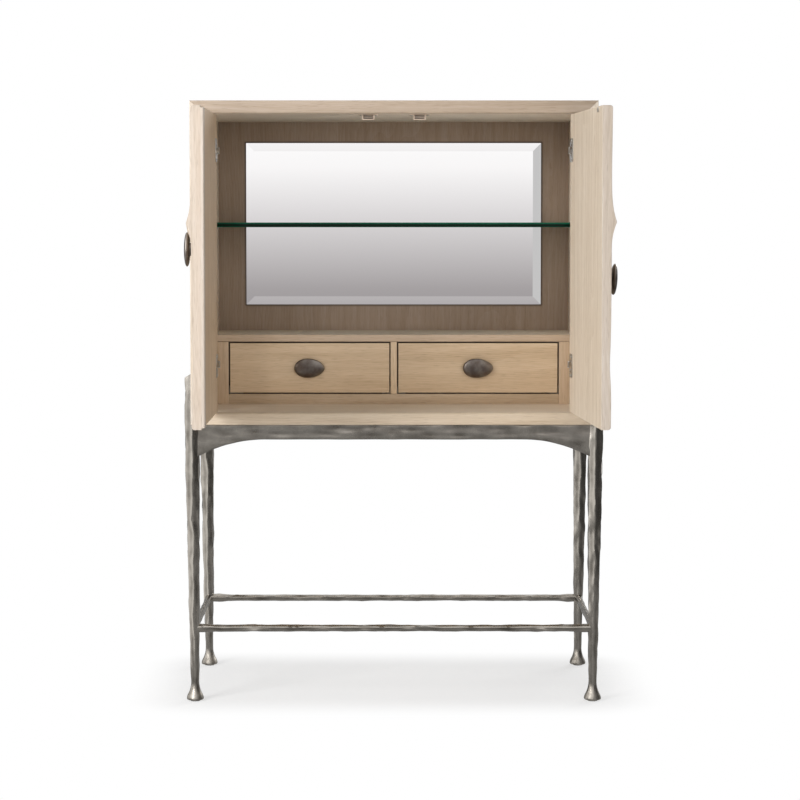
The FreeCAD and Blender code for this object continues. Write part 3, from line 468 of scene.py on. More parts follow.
def smooth(mesh, angle):
    """Smooth but for edges sharper than the angle."""
    mesh.shade_smooth()
    mesh.set_sharp_from_angle(angle=math.radians(angle))


def tidy(piece, angle):
    """Merges doubled points, turns the faces outward and sets which edges stay sharp."""
    with opened(piece.data) as form:
        bmesh.ops.remove_doubles(form, verts=form.verts, dist=0.01 * MM)
        bmesh.ops.recalc_face_normals(form, faces=form.faces)
    smooth(piece.data, angle)


def bare_piece(name, vertices, faces, *materials):
    """A mesh object at the origin, as its points and faces are given."""
    mesh = bpy.data.meshes.new(name)
    mesh.from_pydata([tuple(vertex) for vertex in vertices], [], faces)
    for material in materials:
        mesh.materials.append(material)
    piece = bpy.data.objects.new(name, mesh)
    bpy.context.collection.objects.link(piece)
    return piece


def new_piece(name, vertices, faces, material, angle=40):
    """A mesh object at the origin, smooth but for edges sharper than the angle."""
    piece = bare_piece(name, vertices, faces, material)
    tidy(piece, angle)
    return piece


def add_block(form, low, high):
    """Adds an upright block between two corners to an opened mesh."""
    low, high = Vector(low), Vector(high)
    place = Matrix.Translation((low + high) / 2) @ Matrix.Diagonal((*(high - low), 1))
    bmesh.ops.create_cube(form, size=1, matrix=place)


def boxes_piece(name, boxes, material, edge):
    """Several eased blocks as one mesh."""
    piece = bare_piece(name, [], [], material)
    with opened(piece.data) as form:
        for low, high in boxes:
            add_block(form, low, high)
        bmesh.ops.bevel(form, geom=form.edges[:], offset=edge, segments=2, profile=0.5, affect="EDGES")
    smooth(piece.data, 40)
    return piece


def settle(piece):
    """Makes what a piece's modifiers give its own plain mesh."""
    graph = bpy.context.evaluated_depsgraph_get()
    mesh = bpy.data.meshes.new_from_object(piece.evaluated_get(graph), preserve_all_data_layers=True,
                                           depsgraph=graph)
    piece.modifiers.clear()
    piece.data = mesh


def cut_out(piece, cutter):
    """Takes the cutter's shape out of a piece and removes the cutter."""
    cut = piece.modifiers.new("cut", "BOOLEAN")
    cut.operation = "DIFFERENCE"
    cut.solver = "EXACT"
    cut.object = cutter
    settle(piece)
    bpy.data.objects.remove(cutter)


def run_tree(piece, tree, values):
    """Runs a geometry tree on a piece with its inputs given by name."""
    change = piece.modifiers.new(tree.name, "NODES")
    change.node_group = tree
    for item in tree.interface.items_tree:
        if item.item_type == "SOCKET" and item.in_out == "INPUT" and item.name in values:
            change[item.identifier] = values[item.name]
    settle(piece)


def note(piece, label, values, kind="FLOAT"):
    """Gives each point of a piece a value of its own."""
    layer = piece.data.attributes.new(label, kind, "POINT")
    layer.data.foreach_set("value" if kind == "FLOAT" else "vector", values)


def carry(piece, body, slot, *nodes):
    """Seats a finished piece on its body, in place of its plain solids."""
    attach(piece, body)
    if nodes:
        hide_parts(*nodes)


def dressed(node, body, slot, material, edge):
    """A copy of a plain solid with its flats joined up, its edges eased and its rounds smooth."""
    mesh = frame["nodes"][node].data.copy()
    with opened(mesh) as form:
        bmesh.ops.remove_doubles(form, verts=form.verts, dist=0.02 * MM)
        bmesh.ops.dissolve_limit(form, angle_limit=math.radians(1), verts=form.verts, edges=form.edges)
    mesh.materials.clear()
    mesh.materials.append(material)
    piece = bpy.data.objects.new(node + "_dressed", mesh)
    bpy.context.collection.objects.link(piece)
    for layer in list(mesh.attributes):
        if layer.name in ("custom_normal", "sharp_face"):
            mesh.attributes.remove(layer)
    ease = piece.modifiers.new("ease", "BEVEL")
    ease.width = edge
    ease.segments = 2
    ease.limit_method = "ANGLE"
    ease.angle_limit = math.radians(40)
    ease.use_clamp_overlap = True
    settle(piece)
    smooth(piece.data, 40)
    carry(piece, body, slot, node)
    return piece


def repaint(piece, material, ways, near):
    """Gives the faces that look one of the ways another material. Near is 1 for those that look just that
    way."""
    piece.data.materials.append(material)
    for face in piece.data.polygons:
        if max(face.normal.dot(Vector(way)) for way in ways) > near:
            face.material_index = len(piece.data.materials) - 1


# Geometry trees

def new_tree(name, **sockets):
    """A geometry tree, its inputs named by kind; gives the tree and what comes in."""
    tree = bpy.data.node_groups.new(name, "GeometryNodeTree")
    for way in ("OUTPUT", "INPUT"):
        tree.interface.new_socket(name="Geometry", in_out=way, socket_type="NodeSocketGeometry")
    for kind, labels in sockets.items():
        for label in labels:
            tree.interface.new_socket(name=label, in_out="INPUT", socket_type="NodeSocket" + kind)
    return tree, add(tree, "NodeGroupInput").outputs


def end_tree(tree, geometry, finish):
    real = add(tree, "GeometryNodeRealizeInstances", geometry)
    add(tree, "NodeGroupOutput", add(tree, "GeometryNodeSetMaterial", Geometry=real, Material=finish))


def dents(tree, given, geometry, stretch):
    """Small dents pressed in along the surface's own facing, longer along an axis where stretch is under 1.
    Gives the dented geometry and how high each place is."""
    place = add(tree, "GeometryNodeInputPosition")
    shifted = add(tree, "VectorMath", place, stretch, operation="MULTIPLY")
    seeded = add(tree, "VectorMath", shifted, given["Seed"], operation="ADD")
    per_metre = add(tree, "Math", 1.0, given["Dent size"], operation="DIVIDE")
    cells = add(tree, "TexVoronoi", Vector=seeded, Scale=per_metre, Smoothness=0.3, feature="SMOOTH_F1")
    depth = add(tree, "MapRange", cells, 0.0, 0.75, -1.0, 0.0)
    offset = add(tree, "Math", depth, given["Dent depth"], operation="MULTIPLY")
    push = add(tree, "VectorMath", add(tree, "GeometryNodeInputNormal"), offset, operation="SCALE")
    return add(tree, "GeometryNodeSetPosition", Geometry=geometry, Offset=push), depth


def hammered_bar_tree():
    """Turns a round tube into a bar with hammered faces whose ridges wander along it. The tube's points
    carry middle, turn, along and calm: the bar's middle beside them, their angle round it, their distance
    along it and how far they stay unhammered."""
    tree, given = new_tree(
        "Hammered bar", Int=("Sides",),
        Float=("Unevenness", "Growth", "Wander", "Blow length", "Dent size", "Dent depth", "Seed"),
        Material=("Finish",))
    turn, along, calm = (add(tree, "GeometryNodeInputNamedAttribute", label, data_type="FLOAT")
                         for label in ("turn", "along", "calm"))
    middle = add(tree, "GeometryNodeInputNamedAttribute", "middle", data_type="FLOAT_VECTOR")
    travel = add(tree, "Math", along, given["Blow length"], operation="DIVIDE")
    start = add(tree, "GeometryNodeRepeatInput", Iterations=given["Sides"])
    stop = tree.nodes.new("GeometryNodeRepeatOutput")
    start.pair_with_output(stop)
    stop.repeat_items.clear()
    # The nearest face so far starts far out, at 9 times the bar's round
    for label, value in (("Reach", 9.0), ("Side", 0.0)):
        stop.repeat_items.new("FLOAT", label)
        start.inputs[label].default_value = value
    side = start.outputs["Side"]
    # Each face has a lane of the noise to itself, and its depth is drawn from another place than its drift
    lane = add(tree, "Math", side, 7.31, given["Seed"], operation="MULTIPLY_ADD")
    where = add(tree, "CombineXYZ", travel, lane)
    drift = add(tree, "TexNoise", Vector=where, Scale=1.0, Detail=1.0)
    beside = add(tree, "VectorMath", where, (31.7, 0.0, 5.2), operation="ADD")
    bite = add(tree, "TexNoise", Vector=beside, Scale=1.0, Detail=1.0)
    even = add(tree, "Math", side, given["Sides"], operation="DIVIDE")
    even = add(tree, "Math", even, 2 * math.pi, operation="MULTIPLY")
    swing = add(tree, "Math", drift, 0.5, operation="SUBTRACT")
    swing = add(tree, "Math", swing, 2.0, operation="MULTIPLY")
    facing = add(tree, "Math", swing, given["Wander"], even, operation="MULTIPLY_ADD")
    apart = add(tree, "Math", turn, facing, operation="SUBTRACT")
    lean = add(tree, "Math", apart, operation="COSINE")
    lean = add(tree, "Math", lean, 0.3, operation="MAXIMUM")
    cut = add(tree, "Math", bite, given["Unevenness"], operation="MULTIPLY")
    full = add(tree, "Math", 1.0, given["Growth"], operation="ADD")
    flat = add(tree, "Math", full, cut, operation="SUBTRACT")
    reach = add(tree, "Math", flat, lean, operation="DIVIDE")
    least = add(tree, "Math", start.outputs["Reach"], reach, operation="MINIMUM")
    following = add(tree, "Math", side, 1.0, operation="ADD")
    tree.links.new(least.outputs[0], stop.inputs["Reach"])
    tree.links.new(following.outputs[0], stop.inputs["Side"])
    place = add(tree, "GeometryNodeInputPosition")
    arm = add(tree, "VectorMath", place, middle, operation="SUBTRACT")
    grown = add(tree, "VectorMath", arm, stop.outputs["Reach"], operation="SCALE")
    spot = add(tree, "VectorMath", middle, grown, operation="ADD")
    spot = add(tree, "Mix", calm, spot, place, data_type="VECTOR")
    faced = add(tree, "GeometryNodeSetPosition", Geometry=given["Geometry"], Position=spot)
    # What stands out past the flats' middles is rubbed bright, the ridges most
    ridge = add(tree, "MapRange", stop.outputs["Reach"], 0.93, 1.04)
    marked = add(tree, "GeometryNodeStoreNamedAttribute", Geometry=faced, Name="rub", Value=ridge,
                 data_type="FLOAT", domain="POINT")
    dented, _ = dents(tree, given, marked, (1.0, 1.0, 1.0))
    end_tree(tree, dented, given["Finish"])
    return tree


def hammered_plate_tree():
    """Covers a bar's faces with long shallow hammer dents along X and Y."""
    tree, given = new_tree("Hammered plate", Float=("Dent size", "Dent depth", "Seed"), Material=("Finish",))
    dented, high = dents(tree, given, given["Geometry"], (0.22, 0.22, 1.0))
    worn = add(tree, "Math", high, 1.0, operation="ADD")
    marked = add(tree, "GeometryNodeStoreNamedAttribute", Geometry=dented, Name="rub", Value=worn,
                 data_type="FLOAT", domain="POINT")
    end_tree(tree, marked, given["Finish"])
    return tree


def screw_tree():
    """Puts a screw head on each point, facing the way the point's facing attribute says."""
    tree, given = new_tree("Screw heads", Object=("Head",), Float=("Head radius",), Material=("Finish",))
    head = add(tree, "GeometryNodeObjectInfo", given["Head"])
    facing = add(tree, "GeometryNodeInputNamedAttribute", "facing", data_type="FLOAT_VECTOR")
    aimed = add(tree, "FunctionNodeAlignRotationToVector", Vector=facing, axis="Z")
    placed = add(tree, "GeometryNodeInstanceOnPoints", Points=given["Geometry"],
                 Instance=head.outputs["Geometry"], Rotation=aimed, Scale=given["Head radius"])
    end_tree(tree, placed, given["Finish"])
    return tree


# The case and the drawers

WOOD_BOARDS = (
    # node, body, grain, where the pith lies beside the board, and its tone
    ("top_panel", "case", "x", (0.3, 0.30, 0.92), "top_tone"),
    ("bottom_panel", "case", "x", (0.1, 0.35, 0.30), "bottom_tone"),
    ("left_side_panel", "case", "z", (-0.41, 0.68, 0.2), None),
    ("right_side_panel", "case", "z", (0.40, 0.76, 0.7), None),
    ("drawer_deck", "case", "x", (0.2, 0.10, 0.33), "deck_tone"),
    ("drawer_bottom_rail", "case", "x", (0.5, 0.18, 0.20), "rail_tone"),
    ("left_drawer_stile", "case", "z", (-0.89, 0.20, 0.4), "stile_tone"),
    ("right_drawer_stile", "case", "z", (0.92, 0.21, 0.1), "stile_tone"),
    ("drawer_divider", "case", "z", (0.48, 0.19, 0.6), "drawer_tone"),
    ("left_drawer_front", "left_drawer", "x", (-0.1, 0.16, 0.29), "drawer_tone"),
    ("right_drawer_front", "right_drawer", "x", (0.6, 0.17, 0.36), "drawer_tone"),
    ("left_door_astragal", "left_door", "z", (-0.38, -0.94, 0.3), "door_edge_tone"),
)
# grain, where its pith lies, and the boards and their bodies
PLAIN_BOARDS = (
    ("x", (0.0, 0.1, 0.6), (("left_drawer_back", "left_drawer"), ("left_drawer_bottom", "left_drawer"),
                            ("right_drawer_back", "right_drawer"), ("right_drawer_bottom", "right_drawer"))),
    ("y", (0.15, 0.0, 0.62), (("drawer_runners", "case"), ("left_drawer_sides", "left_drawer"),
                              ("right_drawer_sides", "right_drawer"))),
    ("z", (0.05, 0.4, 0.0), (("mirror_backing", "case"),)),
)
# Which ways the faces in the gaps round the drawers look, which are painted dark as the shade in the gaps
GAP_FACES = {"drawer_deck": (-Z,), "drawer_bottom_rail": (Z,), "left_drawer_stile": (X,),
             "right_drawer_stile": (-X,), "drawer_divider": (X, -X), "left_drawer_front": (X, -X, Z, -Z),
             "right_drawer_front": (X, -X, Z, -Z)}
# Which ways the faces inside the case look, painted paler as painted light, and their grain
INNER_FACES = {"top_panel": ("x", -Z), "bottom_panel": ("x", Z), "drawer_deck": ("x", Z),
               "left_side_panel": ("z", X), "right_side_panel": ("z", -X)}


class CABINET_OT_case(bpy.types.Operator):
    """Oak boards of the case and the drawers, each with its own grain"""
    bl_idname = "cabinet.case"
    bl_label = "Case and drawers"

    def execute(self, context):
        look = context.scene.cabinet_oak
        # Painted shade: a dark-tinted oak for the faces in the gaps round the drawers
        gap_shaded = oak(look, "oak_with_painted_gap_shade", "x", (0.0, 0.1, 0.2), tint=look.stain)
        # Painted light: the faces inside the case are mixed towards a paler colour, as if lit more brightly
        painted_lighter = {"x": oak(look, "oak_inside_painted_lighter", "x", (0.0, 0.9, 0.4), lime=0.4),
                 "z": oak(look, "oak_walls_painted_lighter", "z", (-0.41, 0.68, 0.2), lime=0.6)}
        for node, body, grain, pith, tone in WOOD_BOARDS:
            wood = oak(look, "waxed_oak_" + node, grain, pith, tint=getattr(look, tone) if tone else None)
            board = dressed(node, body, "waxed_oak", wood, look.edge_round)
            if node in GAP_FACES:
                repaint(board, gap_shaded, GAP_FACES[node], 0.5)
            if node in INNER_FACES:
                inner_grain, way = INNER_FACES[node]
                repaint(board, painted_lighter[inner_grain], (way,), 0.95)
        # Painted shade: a dark line on the panel's front round the mirror and its backing, which stand off it
        low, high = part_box("mirror")
        high.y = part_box("mirror_backing")[1].y
        back = oak(look, "waxed_oak_back_panel", "z", (0.12, 1.56, 0.0), tint=look.back_tone,
                   shaded_outline=(low, high))
        dressed("back_panel", "case", "waxed_oak", back, look.edge_round)
        for grain, pith, boards in PLAIN_BOARDS:
            plain = oak(look, "plain_wood_" + grain, grain, pith)
            for node, body in boards:
                dressed(node, body, "plain_wood", plain, look.edge_round / 2)
        return {"FINISHED"}


# The doors, shut, in millimetres; the wave's points are shares of the height and of the carving's depth
DOOR = {"height": 740.0, "bottom": 735.0, "thickness": 22.0, "round": 6.5, "carving": 12.0,
        "flow": 46.0, "margin": 34.0, "hinge_x": -471.5, "meeting_x": -1.5, "inner_half": 474.0, "ease": 0.8}
LOWER_WAVE = ((0.07, 0.03), (0.135, -0.04), (0.19, -0.22), (0.26, -0.12), (0.4, 0.0), (0.545, 0.02),
              (0.585, 0.1), (0.612, 0.42))
CREST = (0.64, 1.0)
UPPER_WAVE = ((0.668, 0.52), (0.7, 0.2), (0.76, 0.02), (0.87, 0.05))
WAVE_ENDS = (0.0, 0.14)
HINGE_HEIGHTS = (852.0, 1386.0)
# The hinge's pin, inward from the door's edge and forward from its back
PIN_INSET, PIN_FORWARD = 6.0, 7.0


def door_section(x, relief, inset):
    """The shut door's outline at x in millimetres: carved front, rounded ends and eased back corners."""
    turn = 2 * math.pi * ((x + DOOR["inner_half"]) / (2 * DOOR["inner_half"]) - 0.5)
    lift = DOOR["flow"] * (math.sin(turn) + 0.35 * math.sin(2.3 * turn))
    low, high = DOOR["bottom"], DOOR["bottom"] + DOOR["height"]

    def place(point):
        swing = 4 * point[0] * (1 - point[0])
        return (-relief * point[1] * DOOR["carving"], low + point[0] * DOOR["height"] + lift * swing)

    off, ease, back = DOOR["round"], DOOR["ease"], DOOR["thickness"]
    ends = [-relief * end * DOOR["carving"] for end in WAVE_ENDS]
    crest = place(CREST)
    lower = spline([(ends[0], low + off)] + [place(p) for p in LOWER_WAVE] + [crest], 90)
    upper = spline([crest] + [place(p) for p in UPPER_WAVE] + [(ends[1], high - off)], 56)
    arc = np.linspace(0, math.pi / 2, 7)[1:]
    low_round = [(ends[0] + off - off * math.sin(a), low + off - off * math.cos(a)) for a in arc[:-1]]
    high_round = [(ends[1] + off - off * math.cos(a), high - off + off * math.sin(a)) for a in arc]
    outline = [(ends[0] + off, low)] + low_round + list(lower) + list(upper[1:]) + high_round
    outline += [(back - ease, high), (back, high - ease), (back, low + ease), (back - ease, low)]
    ring = []
    for y, z in outline:
        y = y + inset if y < back / 2 else y - inset
        z = z + inset if z < low + off else z - inset if z > high - off else z
        ring.append((x, y, z))
    return ring


def door_leaf(name, side, material):
    """A carved leaf, shut, with the hollows of its two hinge cups."""
    start, end, ease = side * DOOR["hinge_x"], side * DOOR["meeting_x"], DOOR["ease"]
    way = 1 if end > start else -1
    stations = [(start, 0.0, ease), (start + way * ease, 0.0, 0.0)]
    # The carving rises over the margin and then runs in full to the meeting edge
    for step in range(1, 13):
        rise = step / 12
        stations.append((start + way * (ease + (DOOR["margin"] - ease) * rise),
                         rise * rise * (3 - 2 * rise), 0.0))
    inner = start + way * DOOR["margin"]
    for step in range(1, 57):
        stations.append((inner + (end - way * ease - inner) * step / 56, 1.0, 0.0))
    stations.append((end, 1.0, ease))
    vertices, faces = loft(np.array([door_section(*station) for station in stations]) * MM)
    leaf = new_piece(name, vertices, faces, material, 32)
    for height in HINGE_HEIGHTS:
        cut_out(leaf, cup_cutter(side, height, material))
    return leaf


def cup_cutter(side, height, material):
    """The hollow that a hinge cup is pressed into: a round with a slot out through the leaf's edge."""
    radius, inset, depth, slot, past = 17.55, 24.0, 12.0, 10.05, 5.0
    centre, edge = DOOR["hinge_x"] + inset, DOOR["hinge_x"] - past
    bend = math.asin(slot / radius)
    outline = [(edge, -slot)]
    for step in range(25):
        angle = -math.pi + bend + (2 * math.pi - 2 * bend) * step / 24
        outline.append((centre + radius * math.cos(angle), radius * math.sin(angle)))
    outline.append((edge, slot))
    rings = [[(side * x, y, height + z) for x, z in outline]
             for y in (DOOR["thickness"] - depth, DOOR["thickness"] + past)]
    vertices, faces = loft(np.array(rings) * MM)
    return new_piece("cup_hollow", vertices, faces, material)


class CABINET_OT_doors(bpy.types.Operator):
    """Carved door leaves, smooth on the waves and crisp along the crest"""
    bl_idname = "cabinet.doors"
    bl_label = "Carved doors"

    def execute(self, context):
        look = context.scene.cabinet_oak
        edges = oak(look, "limed_oak_door_edges", "z", (0.0, 0.9, 0.4), tint=look.door_edge_tone)
        pin_shut = Vector((DOOR["hinge_x"] + PIN_INSET, DOOR["thickness"] - PIN_FORWARD, 0)) * MM
        for name, side, pith in (("left", 1, (-0.96, -0.18, 0.5)), ("right", -1, (0.97, -0.3, 0.0))):
            wood = oak(look, "waxed_oak_" + name + "_door", "z", pith, tint=look.door_tone)
            # Painted shade: each door's inner face gets its own tint, the left darker, as it looks away from
            # the key light
            inner = oak(look, "waxed_oak_inside_" + name + "_door", "z", pith,
                        tint=getattr(look, name + "_door_tone"))
            leaf = door_leaf(name + "_door_leaf", side, wood)
            pin = PINS[name + "_door_swing"].copy()
            pin.z = 0
            shut = Vector((side * pin_shut.x, pin_shut.y, 0))
            turn = Matrix.Rotation(math.radians(DOOR_TURNS[name]), 4, "Z")
            leaf.data.transform(Matrix.Translation(pin) @ turn @ Matrix.Translation(-shut))
            tidy(leaf, 32)
            repaint(leaf, edges, (-Y,), 0.6)
            repaint(leaf, inner, (side * X,), 0.98)
            carry(leaf, name + "_door", "waxed_oak", name + "_door_panel")
        return {"FINISHED"}


# The stand, in millimetres: its height, the stretchers' height, half the case's width, and how far the legs'
# middles stand out at the floor and how much further at the top
STAND_TOP, STRETCHER_HEIGHT, CASE_HALF, LEG_OUT, LEG_SPREAD = 702.0, 184.0, 508.0, 502.0, 5.0
# Heights and widths down a leg. Its trumpet foot starts at TRUMPET.
LEG_WIDTHS = ((828.0, 32.4), (702.0, 36.5), (618.0, 35.6), (526.0, 33.8), (435.0, 31.2), (351.0, 28.9),
              (267.0, 27.2), (168.0, 24.2), (84.0, 21.6), (52.0, 20.5), (45.0, 20.7), (37.0, 22.4),
              (30.0, 25.6), (22.0, 31.2), (14.8, 38.4), (9.8, 41.9), (6.4, 42.9), (4.4, 42.0),
              (3.3, 39.6), (3.0, 37.5))
TRUMPET = 9
# Shares of a stretcher's length and its widths there
STRETCHER_WIDTHS = ((0.0, 20.2), (0.03, 20.2), (0.05, 16.6), (0.35, 15.8), (0.65, 15.2), (0.95, 16.6),
                    (0.97, 20.2), (1.0, 20.2))
# The hammering differs from bar to bar by these steps of its seed
FIRST_SEED, LEG_SEED, STRETCHER_SEED, SIDE_SEED = 3.0, 11.7, 5, 7.3


def bar(name, middles, widths, u, v, material, around, calm):
    """A round tube along its middles, whose points know their place for the hammering tree."""
    runs = [0.0]
    for before, after in zip(middles, middles[1:]):
        runs.append(runs[-1] + (after - before).length)
    rings = [[middle + (u * c + v * s) * (width / 2) for c, s in circle(around)]
             for middle, width in zip(middles, widths)]
    piece = bare_piece(name, *loft(rings), material)
    piece.data.shade_smooth()
    note(piece, "turn", [2 * math.pi * step / around for step in range(around)] * len(rings))
    note(piece, "along", np.repeat(runs, around))
    note(piece, "calm", np.repeat(calm, around))
    note(piece, "middle", np.repeat(np.array([list(m) for m in middles]), around, axis=0).ravel(),
         "FLOAT_VECTOR")
    return piece


def hammer(piece, tree, look, seed, material, grow=1.0):
    run_tree(piece, tree, {"Sides": look.sides, "Unevenness": look.unevenness, "Growth": look.growth,
                           "Wander": look.wander, "Blow length": look.blow_length * grow,
                           "Dent size": look.dent_size, "Dent depth": look.dent_depth, "Seed": seed,
                           "Finish": material})
    piece.data.shade_smooth()


def leg_middle(side, y, height):
    return Vector((side * (LEG_OUT + LEG_SPREAD * height / STAND_TOP) * MM, y, height * MM))


def flatten_past(piece, reach):
    """Presses what would stand out sideways past the cabinet's measured reach flat, as a last blow would."""
    for vertex in piece.data.vertices:
        vertex.co.x = max(-reach, min(reach, vertex.co.x))


def make_leg(name, side, y, tree, look, seed, material):
    """A forged leg with its trumpet foot and the tongue up the outside of the case."""
    high, step = LEG_WIDTHS[0][0], 3.5
    heights = list(np.arange(high, LEG_WIDTHS[TRUMPET][0], -step))
    known = list(zip(*reversed(LEG_WIDTHS)))
    widths = [float(np.interp(height, *known)) for height in heights]
    for width, height in reversed(spline([(w, h) for h, w in reversed(LEG_WIDTHS[TRUMPET:])], 70)):
        heights.append(float(height))
        widths.append(float(width))
    middles = [leg_middle(side, y, height) for height in heights]
    # The hammering fades out down the foot
    calm = np.interp(heights, (30.0, 62.0), (0.85, 0.0))
    piece = bar(name, middles, [width * MM for width in widths], side * X, Y, material, 56, calm)
    hammer(piece, tree, look, seed, material)
    # The tongue's top slopes down to its outside
    outward = Vector((side * 10.0, 0, 18.0)).normalized()
    top = Vector((side * CASE_HALF * MM, y, high * MM))
    with opened(piece.data) as form:
        everything = form.verts[:] + form.edges[:] + form.faces[:]
        cut = bmesh.ops.bisect_plane(form, geom=everything, plane_co=top, plane_no=outward, clear_outer=True)
        rim = [edge for edge in cut["geom_cut"] if isinstance(edge, bmesh.types.BMEdge)]
        bmesh.ops.edgeloop_fill(form, edges=rim)
    flatten_past(piece, CAD_BOX[1][0])
    tidy(piece, 55)
    return piece


def make_apron(name, start, end, tree, look, seed, material):
    """A bar between two legs, its underside arched down to its ends and its edges worn round."""
    height, thick, run, drop, worn, step_long = 39.5, 24.0, 185.0, 52.0, 3.2, 4
    radius = (run ** 2 + drop ** 2) / (2 * drop)
    along = end - start
    half = along.length / 2 / MM
    across = Vector((-along.y, along.x, 0)).normalized()
    side = thick / 2 - worn
    rings = []
    for place in np.linspace(-half, half, int(2 * half / step_long)):
        past = max(0.0, abs(place) - (half - run))
        under = -height - (radius - math.sqrt(max(radius ** 2 - past ** 2, 0.0)))
        ring = []
        corners = ((side, -worn), (-side, -worn), (-side, under + worn), (side, under + worn))
        for quarter, (s, level) in enumerate(corners):
            for step in range(5):
                angle = math.pi / 2 * (quarter + step / 4)
                ring.append((s + worn * math.cos(angle), level + worn * math.sin(angle)))
            after, last = corners[(quarter + 1) % 4], ring[-1]
            turn = math.pi / 2 * (quarter + 1)
            first = (after[0] + worn * math.cos(turn), after[1] + worn * math.sin(turn))
            for step in range(1, 8):
                ring.append((last[0] + (first[0] - last[0]) * step / 8,
                             last[1] + (first[1] - last[1]) * step / 8))
        middle = (start + end) / 2 + along.normalized() * (place * MM)
        rings.append([middle + across * (s * MM) + Z * (level * MM) for s, level in ring])
    piece = new_piece(name, *loft(rings), material, 60)
    run_tree(piece, tree, {"Dent size": look.plate_dent, "Dent depth": look.plate_depth, "Seed": seed,
                           "Finish": material})
    smooth(piece.data, 60)
    return piece


def make_stretcher(name, start, end, tree, look, seed, material):
    """A thin forged bar with a collar at each end."""
    steps = int((end - start).length / (4 * MM))
    shares = [number / steps for number in range(steps + 1)]
    known = list(zip(*STRETCHER_WIDTHS))
    widths = [float(np.interp(place, *known)) * MM for place in shares]
    across = Z.cross((end - start).normalized())
    middles = [start.lerp(end, place) for place in shares]
    piece = bar(name, middles, widths, across, Z, material, 28, np.zeros(len(middles)))
    hammer(piece, tree, look, seed, material, 0.8)
    tidy(piece, 55)
    return piece


class CABINET_OT_stand(bpy.types.Operator):
    """Hammered legs, aprons and stretchers of the stand"""
    bl_idname = "cabinet.stand"
    bl_label = "Forged stand"

    def execute(self, context):
        look = context.scene.cabinet_iron
        across_iron, side_iron, leg_iron = (hammered_iron(look, "hammered_iron_" + way, axis)
                                            for axis, way in enumerate(("across", "sides", "legs")))
        bar_tree, plate_tree = hammered_bar_tree(), hammered_plate_tree()
        seed = FIRST_SEED
        rows = {"front": middle_of("left_front_leg").y, "back": middle_of("left_back_leg").y}
        for depth, y in rows.items():
            for side_name, side in (("left", -1), ("right", 1)):
                node = side_name + "_" + depth + "_leg"
                carry(make_leg(node + "_forged", side, y, bar_tree, look, seed, leg_iron), "case",
                      "forged_iron", node)
                seed += LEG_SEED
        ends = {"front": (-1, "front", 1, "front"), "back": (-1, "back", 1, "back"),
                "left": (-1, "front", -1, "back"), "right": (1, "front", 1, "back")}
        for name, (side_a, row_a, side_b, row_b) in ends.items():
            iron = across_iron if row_a == row_b else side_iron
            for kind, make, tree, height, more in (("_apron", make_apron, plate_tree, STAND_TOP, 0),
                                                   ("_stretcher", make_stretcher, bar_tree, STRETCHER_HEIGHT,
                                                    STRETCHER_SEED)):
                start, end = leg_middle(side_a, rows[row_a], height), leg_middle(side_b, rows[row_b], height)
                piece = make(name + kind + "_forged", start, end, tree, look, seed + more, iron)
                carry(piece, "case", "forged_iron", name + kind)
            seed += SIDE_SEED
        dressed("fixing_tabs", "case", "forged_iron", across_iron, 0.8 * MM)
        return {"FINISHED"}


# The mirror, the shelf and the fittings

def make_knob(name, body, node, outward, long_way, material):
    """A river-stone knob on an oval stem: blunt at one end, drawn to a soft point at the other."""
    half_long, half_wide, thick, stem, seat_depth = 39.5, 25.0, 13.5, 7.0, 12.0
    seat = middle_of(node) + outward * ((seat_depth - (seat_depth + stem + thick) / 2) * MM)
    across = outward.cross(long_way)

    def spot(x, y, rise):
        return seat + (long_way * x + across * y + outward * rise) * MM

    # Shares of the thickness and of the width there
    profile = [(0.0, 0.0), (0.03, 0.45), (0.1, 0.74), (0.22, 0.9), (0.38, 0.985), (0.5, 1.0), (0.62, 0.975),
               (0.76, 0.87), (0.88, 0.68), (0.96, 0.42), (1.0, 0.0)]
    rings, rub = [], []
    for height, size in spline(profile, 22)[1:-1]:
        ring = []
        for c, s in circle(72):
            width = half_wide * (1 - 0.1 * c) * (1 - 0.1 * max(c, 0.0) ** 3)
            ring.append(spot(size * half_long * c, size * width * s, stem + thick * height))
            # Fingers rub the rim, and the pointed end most
            rub.append(float(np.clip(size ** 6 * (0.35 + 0.65 * c), 0, 1)))
        rings.append(ring)
    vertices, faces = loft(rings)
    half_stem_long, half_stem_wide = 15.5, 10.0
    stem_vertices, stem_faces = loft([
        [spot(half_stem_long * swell * c, half_stem_wide * swell * s, height) for c, s in circle(48)]
        for height, swell in ((-2.0, 1.0), (0.0, 1.0), (stem * 0.5, 0.97), (stem + 3.0, 0.97))])
    faces += [tuple(index + len(vertices) for index in face) for face in stem_faces]
    piece = bare_piece(name, list(vertices) + list(stem_vertices), faces, material)
    note(piece, "rub", rub + [0.2] * len(stem_vertices))
    tidy(piece, 40)
    carry(piece, body, "dark_bronze", node)


class CABINET_OT_knobs(bpy.types.Operator):
    """Stone-shaped knobs of the drawers and doors"""
    bl_idname = "cabinet.knobs"
    bl_label = "Knobs"

    def execute(self, context):
        bronze = patinated_bronze(context.scene.cabinet_fittings, "patinated_bronze")
        angle = math.radians(DOOR_TURNS["right"])
        outward = Vector((math.sin(angle), -math.cos(angle), 0))
        # The right door's knob is turned out of the upright
        lean = math.radians(30.0)
        flat = Vector((outward.y, -outward.x, 0))
        leaning = (Z * math.cos(lean) + flat * math.sin(lean)).normalized()
        for body, facing, long_way in (("left_drawer", -Y, X), ("right_drawer", -Y, X), ("left_door", -X, Z),
                                       ("right_door", outward, leaning)):
            make_knob(body + "_stone", body, body + "_knob", facing, long_way, bronze)
        return {"FINISHED"}


